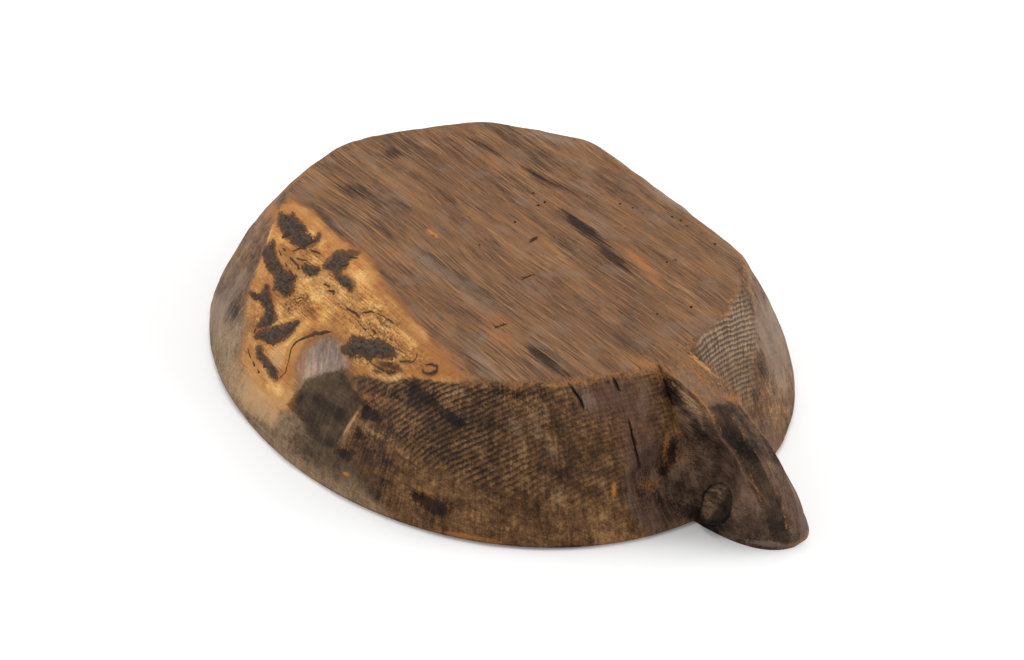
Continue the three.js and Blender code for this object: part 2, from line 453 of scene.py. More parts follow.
def dab_cover(pixels: Array, dabs: Sequence[Dab]) -> Array:
    """How strongly a set of dabs covers each pixel place.

    Each dab is a bell falling off from its middle, and takes its share of what the others leave bare.

    Args:
        pixels: places in the picture.
        dabs: the marks.

    Returns:
        Cover, 0 where it is bare and about 1 where it is full.
    """
    bare = np.ones(len(pixels))
    for dab in dabs:
        turn = math.radians(dab.turn)
        across = pixels - (dab.x, dab.y)
        u = (across[:, 0] * math.cos(turn) + across[:, 1] * math.sin(turn)) / dab.long
        v = (across[:, 1] * math.cos(turn) - across[:, 0] * math.sin(turn)) / dab.wide
        bare *= 1 - dab.weight * np.exp(-(u * u + v * v))
    return 1 - bare


def line_distance(pixels: Array, line: Sequence[Sequence[float]]) -> Array:
    """Distance in pixels from each place in the picture to a line of straight stretches.

    Where the line's points also carry a half width, the distance is to its border, negative inside.

    Args:
        pixels: places in the picture.
        line: the line's points in order.

    Returns:
        Distances in pixels.
    """
    points = np.array([(*point, 0.0)[:3] for point in line], dtype=float)
    nearest = np.full(len(pixels), np.inf)
    for start, end in zip(points[:-1], points[1:]):
        side = end - start
        away = pixels - start[:2]
        along = np.clip(away @ side[:2] / (side[:2] @ side[:2]), 0, 1)
        gap = np.linalg.norm(away - along[:, None] * side[:2], axis=1) - start[2] - along * side[2]
        nearest = np.minimum(nearest, gap)
    return nearest


def nearest_line(pixels: Array, lines: Sequence[Sequence[Sequence[float]]]) -> Array:
    """Distance in pixels from each place in the picture to the nearest of several lines."""
    return np.min([line_distance(pixels, line) for line in lines], axis=0)


def outline_depth(pixels: Array, outline: Sequence[Spot]) -> Array:
    """Distance from each pixel place to a closed outline, positive inside it.

    Args:
        pixels: places in the picture.
        outline: the outline's corners in order.

    Returns:
        Signed distances in pixels.
    """
    corners = np.array(outline, dtype=float)
    nearest = line_distance(pixels, (*outline, outline[0]))
    inside = np.zeros(len(pixels), dtype=bool)
    for start, end in zip(corners, np.roll(corners, -1, axis=0)):
        side = end - start
        spans = (start[1] > pixels[:, 1]) != (end[1] > pixels[:, 1])
        drop = side[1] if side[1] else np.inf
        inside ^= spans & (pixels[:, 0] < start[0] + side[0] * (pixels[:, 1] - start[1]) / drop)
    return np.where(inside, nearest, -nearest)


@dataclass(frozen=True)
class HalfLog:
    """The log that the block was split from, with its pith below the rim and its axis skewed."""

    radius: float = 200.0
    pith_depth: float = 97.18
    pith_offset: float = 11.0
    skew: float = math.radians(-8.0)

    def onto(self, along: Array, swing: Array, lift: Array) -> Array:
        """Points on the log's round in the bowl's frame.

        Args:
            along: millimetres along the log.
            swing: radians round it from its top, to the bark's side if negative.
            lift: millimetres off the round.

        Returns:
            The points.
        """
        radius = self.radius + lift
        y = self.pith_offset + radius * np.sin(swing)
        z = radius * np.cos(swing) - self.pith_depth
        return swung(stack(along + 0 * y, y, z), self.skew)

    def depth_of(self, points: Array) -> Array:
        """How far points in the bowl's frame lie from the log's round, positive outside it."""
        seen = swung(points, -self.skew)
        return np.hypot(seen[:, 1] - self.pith_offset, seen[:, 2] + self.pith_depth) - self.radius

    def seen_at(self, view: PhotoView, spots: Array) -> tuple[Array, Array]:
        """Places along and round the log that the picture shows at some pixels, where each ray meets it.

        Args:
            view: the camera.
            spots: pixels.

        Returns:
            Millimetres along, and radians round.
        """
        eye = swung(view.eye()[None], -self.skew)[0] - (0.0, self.pith_offset, -self.pith_depth)
        ray = swung(view.rays(spots), -self.skew)
        square = (ray[:, 1:] ** 2).sum(axis=1)
        half = ray[:, 1:] @ eye[1:]
        reach = (-half - np.sqrt(half**2 - square * (eye[1:] @ eye[1:] - self.radius**2))) / square
        met = eye + reach[:, None] * ray
        return met[:, 0], np.arctan2(met[:, 1], met[:, 2])


@dataclass
class BowlShape:
    """The hewn bowl's sizes in millimetres, with lengths along the log and widths across it."""

    log: HalfLog
    height: float = 78.0
    rim: Spot = (398.0, 328.0)
    base: Spot = (292.0, 262.0)
    base_shift: float = 9.0
    belly: float = 4.0
    wear: float = 3.0
    wall: float = 22.0
    floor: float = 20.0
    fullness: float = 2.6
    flats: tuple[Spot, ...] = (
        (20, 2), (90, 23), (126, 12), (161, 8), (245, 10), (283, 26), (318, 5), (336, 7.5),
    )
    base_rings: int = 58
    edge_crowd: float = 0.18
    wear_rings: int = 4
    wall_rings: int = 62
    front_flat: Spot = (281.3, 37.4)
    wane_round: float = 4.0
    flat_round: float = 1.2
    corner_round: float = 8.0
    least_facing: float = 0.2
    ray_height: float = 15.0
    hollow_grid: tuple[int, int] = (44, 200)
    hollow_top: float = 0.985 * math.pi / 2
    overrun: float = 5.0

    @staticmethod
    def oval(size: Spot, angle: Array) -> Array:
        """Radius of an oval of a given length and width at an angle."""
        return 1 / np.hypot(np.cos(angle) / (size[0] / 2), np.sin(angle) / (size[1] / 2))

    def base_radius(self, angle: Array) -> Array:
        """Radius of the base: its oval, cut by axe flats laid off inside the oval's own tangents.

        Args:
            angle: radians round the base.

        Returns:
            Radii in millimetres.
        """
        radius = self.oval(self.base, angle)
        for azimuth, depth in self.flats:
            facing = math.radians(azimuth)
            tangent = math.hypot(self.base[0] / 2 * math.cos(facing), self.base[1] / 2 * math.sin(facing))
            across = np.cos(angle - facing)
            cut = (tangent - depth) / np.maximum(across, self.least_facing)
            radius = soft_min(radius, cut, self.corner_round)
        return radius

    def wall_radius(self, angle: Array, rise: Array) -> Array:
        """Radius of the wall at a share of the height: rim to base in a line, with a swell between."""
        straight = (1 - rise) * self.oval(self.rim, angle) + rise * self.base_radius(angle)
        return straight + self.belly * 4 * rise * (1 - rise)

    def ring_profile(self) -> tuple[Array, Array, Array]:
        """The skin's rings from the base's middle out to its worn edge and down the wall to the rim.

        Returns:
            Each ring's share of the radius, its share of the height, and its inset in millimetres.
        """
        corner = np.linspace(0, math.pi / 2, self.wear_rings + 1)
        worn = self.wear / self.height
        inset = self.wear * (1 - np.sin(corner[1:]))
        drop = worn * (1 - np.cos(corner[1:]))
        walls = np.linspace(1 - worn, worn, self.wall_rings + 1)[1:]
        even = np.linspace(0, 1, self.base_rings + 1)
        flat = even + self.edge_crowd * np.sin(math.pi * even)
        reach = np.concatenate([flat, np.ones(2 * self.wear_rings + self.wall_rings)])
        rise = np.concatenate([np.ones(len(flat)), 1 - drop, walls, worn * np.cos(corner[1:])])
        low = self.wear * (1 - np.cos(corner[1:]))
        insets = np.concatenate([np.full(len(flat), self.wear), inset, np.zeros(len(walls)), low])
        return reach, rise, insets

    def outside(self) -> Surface:
        """The bowl's outer skin, closed across the rim.

        A square grid is wrapped over the bowl: each square ring of the grid becomes one ring of the
        profile, and each step round it an equal share of the turn. A point outside the log's round is
        drawn in along the line to a place inside the bowl until it meets the round.

        Returns:
            The skin.
        """
        reach, rises, insets = self.ring_profile()
        half = len(reach) - 1
        u, v = np.meshgrid(np.arange(-half, half + 1.0), np.arange(-half, half + 1.0), indexing="ij")
        ring = np.maximum(np.abs(u), np.abs(v)).astype(int)
        wide = np.abs(u) > np.abs(v)
        safe_u = np.where(u == 0, 1, u)
        safe_v = np.where(v == 0, 1, v)
        angle = np.where(wide, math.pi / 4 * v / safe_u, math.pi / 2 - math.pi / 4 * u / safe_v)
        angle = angle + np.where(np.where(wide, u, v) < 0, math.pi, 0)
        rise = rises[ring]
        radius = (self.wall_radius(angle, rise) - insets[ring]) * reach[ring]
        x = self.base_shift * rise + radius * np.cos(angle)
        blank = stack(x, radius * np.sin(angle), self.height * rise).reshape(-1, 3)
        skin = swung(self.cut_to_log(blank), self.log.skew)
        side = 2 * half + 1
        index = np.arange(side * side).reshape(side, side)
        corners = [index[:-1, :-1], index[1:, :-1], index[1:, 1:], index[:-1, 1:]]
        quads = np.stack(corners, axis=-1).reshape(-1, 4)
        border = np.concatenate([index[:-1, 0], index[-1, :-1], index[:0:-1, -1], index[0, :0:-1]])
        middle = np.full(len(border), side * side)
        under = stack(np.roll(border, -1), border, middle)
        return Surface(np.concatenate([skin, np.zeros((1, 3))]), quads, under).outward()

    def cut_to_log(self, blank: Array) -> Array:
        """The blank's points, drawn in to the log's round and the front flat where they lie outside.

        Args:
            blank: points in the log's frame.

        Returns:
            The points, with the wane's edges rounded over.
        """
        heart = np.array((self.base_shift, 0.0, self.ray_height))
        reach = blank - heart
        y = heart[1] - self.log.pith_offset
        z = heart[2] + self.log.pith_depth
        square = np.maximum((reach[:, 1:] ** 2).sum(axis=1), 1.0)
        half = reach[:, 1] * y + reach[:, 2] * z
        met = (-half + np.sqrt(half**2 - square * (y * y + z * z - self.log.radius**2))) / square
        length = np.linalg.norm(reach, axis=1)
        share = soft_min(np.ones(len(blank)), met, self.wane_round / length)
        outward, distance = self.front_plane()
        towards = np.maximum(reach @ outward, 1.0)
        share = soft_min(share, (distance - heart @ outward) / towards, self.flat_round / length)
        return heart + reach * share[:, None]

    def front_plane(self) -> tuple[Array, float]:
        """The front flat in the log's frame: a plane that leans back from the rim's own tangent.

        Returns:
            Its outward direction and its distance from the middle of the rim.
        """
        facing, lean = (math.radians(angle) for angle in self.front_flat)
        level = np.array((math.cos(facing), math.sin(facing)))
        tangent = math.hypot(self.rim[0] / 2 * level[0], self.rim[1] / 2 * level[1])
        outward = np.array((*(level * math.cos(lean)), math.sin(lean)))
        return outward, tangent * math.cos(lean)

    def hollow(self) -> Surface:
        """The carved hollow: ovals that close in a superellipse from the rim up to the floor.

        Returns:
            The closed skin for cutting, which overruns the rim.
        """
        levels, steps = self.hollow_grid
        swing = np.linspace(0, self.hollow_top, levels)
        power = 2 / self.fullness
        share = np.concatenate([[1.0], np.cos(swing) ** power])
        z = np.concatenate([[-self.overrun], (self.height - self.floor) * np.sin(swing) ** power])
        angle = np.arange(steps) / steps * TURN
        radius = share[:, None] * self.oval(self.hollow_size(), angle)
        x = radius * np.cos(angle)
        y = radius * np.sin(angle)
        return tube(swung(stack(x, y, z[:, None] + 0 * x), self.log.skew))

    def hollow_size(self) -> Spot:
        """Length and width of the hollow at the rim."""
        return self.rim[0] - 2 * self.wall, self.rim[1] - 2 * self.wall

    def hollow_level(self, points: Array) -> Array:
        """Where points lie against the hollow, by the sum of powers that makes its superellipse.

        Args:
            points: in the bowl's frame.

        Returns:
            1 on the hollow's surface, less inside it and more in the wood.
        """
        seen = swung(points, -self.log.skew)
        angle = np.arctan2(seen[:, 1], seen[:, 0])
        share = np.hypot(seen[:, 0], seen[:, 1]) / self.oval(self.hollow_size(), angle)
        return share**self.fullness + (np.abs(seen[:, 2]) / (self.height - self.floor)) ** self.fullness

    def outside_level(self, points: Array) -> Array:
        """How far points lie outside the bowl's wall: their own radius less the wall's at that height.

        Args:
            points: in the bowl's frame.

        Returns:
            Millimetres, negative inside.
        """
        seen = swung(points, -self.log.skew)
        rise = np.clip(seen[:, 2] / self.height, 0, 1)
        x = seen[:, 0] - self.base_shift * rise
        return np.hypot(x, seen[:, 1]) - self.wall_radius(np.arctan2(seen[:, 1], x), rise)


@dataclass
class HandleShape:
    """The lug: a keel with its foot in the rim's plane and its crown running on from the base face."""

    height: float = 78.0
    start: float = 125.0
    tip: float = 246.0
    side: float = 1.0
    left: float = 31.0
    right: float = 25.0
    bluntness: float = 5.3
    nose: float = 0.995
    crown_sink: float = 0.6
    crown: tuple[Spot, ...] = (
        (0, 1), (0.25, 1), (0.56, 0.88), (0.81, 0.62), (0.92, 0.4), (0.96, 0.28), (1, 0.09),
    )
    facets: Spot = (0.5, 0.7)
    stop: Spot = (0.566, 0.578)
    stop_fade: Spot = (0.62, 0.85)
    stop_step: float = 1.3
    ridge: Spot = (0.34, 3.5)
    shoulder: Spot = (0.64, 14.0)
    nose_shoulder: float = 0.78
    left_flank: Spot = (0.8, 0.42)
    right_flank: Spot = (0.6, 0.5)
    toe: Spot = (0.9, 5.0)
    stations: int = 84
    side_steps: tuple[int, ...] = (14, 12, 14, 8, 9, 12, 10, 4)
    scoop_place: Place = (200.0, -45.0, 36.0)
    scoop_radii: Place = (31.0, 32.0, 33.5)
    scoop_grid: tuple[int, int] = (44, 88)

    def crown_curve(self) -> Array:
        """Stations along the crown, on a cubic spline whose slope at each knot comes from its neighbours.

        Returns:
            Shares of the reach and of the height, as (station, 2).
        """
        knots = np.array(self.crown, dtype=float)
        last = len(knots) - 1
        place = np.linspace(0, last, self.stations)
        span = np.minimum(place.astype(int), last - 1)
        t = (place - span)[:, None]
        before, here, after, beyond = (knots[np.clip(span + k, 0, last)] for k in (-1, 0, 1, 2))
        pull = (after - before) / 2
        push = (beyond - here) / 2
        cubic = (2 * here - 2 * after + pull + push) * t**3
        return cubic + (-3 * here + 3 * after - 2 * pull - push) * t**2 + pull * t + here

    def keel(self) -> Surface:
        """The lug's skin: a hewn section with eight corners, carried out along the crown.

        Returns:
            The skin, closed at the buried end and at the blunt nose.
        """
        curve = self.crown_curve()
        out = curve[:, 0] * self.nose
        top = (self.height - self.crown_sink) * curve[:, 1]
        top = top - self.stop_step * (smoothstep(*self.stop, out) - smoothstep(*self.stop_fade, out))
        narrow = np.sqrt(np.maximum(1 - np.maximum(out, 0) ** self.bluntness, 0))
        left = self.left * narrow
        right = self.right * narrow
        hewn = smoothstep(*self.facets, out) * curve[:, 1]
        toe = np.minimum(self.toe[1], self.left_flank[1] * top / 2)
        none = np.zeros_like(out)
        outer = smoothstep(self.facets[0], 1.0, out)
        shoulder = self.shoulder[0] + (self.nose_shoulder - self.shoulder[0]) * outer
        across = [
            -left, right, self.right_flank[0] * right, none, -self.ridge[0] * left,
            -shoulder * left, -self.left_flank[0] * left, -self.toe[0] * left,
        ]
        up = [
            none, none, self.right_flank[1] * top, top, top - self.ridge[1] * hewn,
            top - self.shoulder[1] * hewn, self.left_flank[1] * top, toe,
        ]
        corners = stack(np.stack(across), np.stack(up))
        ends = np.roll(corners, -1, axis=0)
        strips = [
            start + (end - start) * (np.arange(count) / count)[:, None, None]
            for start, end, count in zip(corners, ends, self.side_steps)
        ]
        section = np.concatenate(strips).transpose(1, 0, 2)
        x = self.start + (self.tip - self.start) * out
        rings = np.stack(
            [x[:, None] + 0 * section[..., 0], self.side + section[..., 0], section[..., 1]], axis=-1
        )
        return tube(rings)

    def scoop(self) -> Surface:
        """The ellipsoid that the carver scooped out of the handle's left root.

        Returns:
            The closed skin for cutting.
        """
        rows, steps = self.scoop_grid
        dip = np.linspace(0, math.pi, rows + 2)[1:-1, None]
        turn = np.arange(steps) / steps * TURN
        ball = np.stack(
            [np.sin(dip) * np.cos(turn), np.sin(dip) * np.sin(turn), np.cos(dip) + 0 * turn], axis=-1
        )
        return tube(ball * self.scoop_radii + self.scoop_place)

    def scoop_level(self, points: Array) -> Array:
        """Distance of points from the scoop's surface in millimetres, positive outside it."""
        share = np.linalg.norm((points - self.scoop_place) / np.array(self.scoop_radii), axis=1)
        return (share - 1) * np.mean(self.scoop_radii)


@dataclass
class KnotShape:
    """The ingrown knot: a tapered plug along its axis, laid bare in the scoop."""

    place: Place = (204.0, -20.5, 15.0)
    axis: Place = (-0.1, -0.97, 0.2)
    radius: float = 11.0
    taper: float = 0.8
    length: float = 12.0
    proud: float = 12.0
    grid: tuple[int, int] = (22, 90)
    rough: float = 0.7
    check_depth: float = 2.2
    check_width: float = 0.7
    rot_depth: float = 3.6
    worn_edge: float = 1.4
    lift: float = 0.4
    inner_share: float = 0.04
    crease: float = 40.0
    # The share of the length at which the shank has a waist, and the waist's share of the radius
    waist: Spot = (0.5, 0.9)
    # Each wave of the ragged round: its share of the radius, its count and its start
    waves: tuple[Place, ...] = ((0.035, 3, 1.0), (0.025, 5, 0.4), (0.012, 11, 0.0))
    # Each open crack: its width, the angle of its middle, and the cosines between which it opens
    cracks: tuple[tuple[float, float, Spot], ...] = ((0.75, 2.4, (0.2, 0.9)), (0.35, 0.7, (0.5, 1)))

    def frame(self) -> tuple[Array, Array, Array]:
        """The plug's own directions.

        Returns:
            Its axis, and two directions across it.
        """
        axis = np.array(self.axis) / np.linalg.norm(self.axis)
        first = np.cross(axis, (0.0, 0.0, 1.0))
        first = first / np.linalg.norm(first)
        return axis, first, np.cross(axis, first)

    def rim_shape(self, turn: Array) -> Array:
        """The plug's ragged round: its radius as a share at each angle, by a sum of waves."""
        return sum((size * np.cos(count * turn + start) for size, count, start in self.waves), 1.0)

    def socket(self, gap: float) -> Surface:
        """The plug grown by a gap that opens wider where its cracks are.

        Args:
            gap: least millimetres of open crack.

        Returns:
            A tapered tube for cutting.
        """
        axis, first, second = self.frame()
        turn = np.arange(self.grid[1]) / self.grid[1] * TURN
        open_by = (width * smoothstep(*fade, np.cos(turn - middle)) for width, middle, fade in self.cracks)
        wide = sum(open_by, gap)
        rings = []
        for depth, share in ((-self.length - gap, self.taper), (self.proud, 1.0)):
            radius = self.radius * share * self.rim_shape(turn) + wide
            spoke = np.cos(turn)[:, None] * first + np.sin(turn)[:, None] * second
            rings.append(np.array(self.place) + depth * axis + radius[:, None] * spoke)
        return tube(np.stack(rings))

    def plug(self, handle: HandleShape) -> Surface:
        """The knot's body: a face that follows the scoop, checked and rough, over a tapered shank.

        Args:
            handle: whose scoop the face follows, where each line along the plug's axis meets it.

        Returns:
            The closed body.
        """
        axis, first, second = self.frame()
        rows, steps = self.grid
        turn = np.arange(steps) / steps * TURN
        share = np.linspace(self.inner_share, 1, rows)[:, None]
        spoke = np.cos(turn)[:, None] * first + np.sin(turn)[:, None] * second
        radius = self.radius * share * self.rim_shape(turn)
        flat = np.array(self.place) + radius[..., None] * spoke
        start = (flat - handle.scoop_place) / np.array(handle.scoop_radii)
        step = axis / np.array(handle.scoop_radii)
        half = start @ step
        inner = half**2 - (step @ step) * ((start**2).sum(axis=-1) - 1)
        met = (-half - np.sqrt(np.maximum(inner, 0))) / (step @ step)
        u = radius * np.cos(turn)
        v = radius * np.sin(turn)
        grain = noise(stack((u + v) / 2.2, (u - v) / 9), 71)
        coarse = noise(stack(u / 5, v / 5), 72)
        check = np.exp(-(((v + 0.35 * u - 1.5) / self.check_width) ** 2)) * smoothstep(0.98, 0.6, share)
        worn = self.worn_edge * smoothstep(0.82, 1.0, share)
        rotten = self.rot_depth * smoothstep(0.0, 0.3, -u / self.radius) * smoothstep(0.98, 0.8, share)
        rough = self.rough * (0.5 * grain + 0.6 * coarse)
        lift = rough - self.check_depth * check - worn - rotten + self.lift
        face = flat + (met + lift)[..., None] * axis
        shank = []
        for depth, tight in ((self.length * self.waist[0], self.waist[1]), (self.length, self.taper)):
            narrow = self.radius * tight * self.rim_shape(turn)
            shank.append(np.array(self.place) - depth * axis + narrow[:, None] * spoke)
        return tube(np.concatenate([face, np.stack(shank)]))

    def keep_sides(self, mesh: bpy.types.Mesh) -> None:
        """Keeps each point's place across the plug, rotten side up, and its distance from the axis.

        Args:
            mesh: the plug's mesh.
        """
        _, first, second = self.frame()
        away = (read_points(mesh) - self.place) / self.radius
        write_attribute(mesh, KnotWood.side, -away @ first)
        write_attribute(mesh, KnotWood.rim, np.hypot(away @ first, away @ second))


@dataclass(frozen=True)
class Notch:
    """A pit that an axe's corner left: its outline in the picture, deepest corner first, and its depth."""

    outline: tuple[Spot, ...]
    depth: float
    wall: ClassVar[Spot] = (-2.0, 6.0)
    slope: ClassVar[Spot] = (1.05, 0.1)

    def cover(self, pixels: Array) -> Array:
        """How deep the pit is at each pixel place: steep at its rim, shallower away from its first corner.

        Args:
            pixels: places in the picture.

        Returns:
            Shares of the depth.
        """
        corners = np.array(self.outline, dtype=float)
        far = np.linalg.norm(corners - corners[0], axis=1).max()
        away = np.linalg.norm(pixels - corners[0], axis=1) / far
        return smoothstep(*self.wall, outline_depth(pixels, self.outline)) * smoothstep(*self.slope, away)


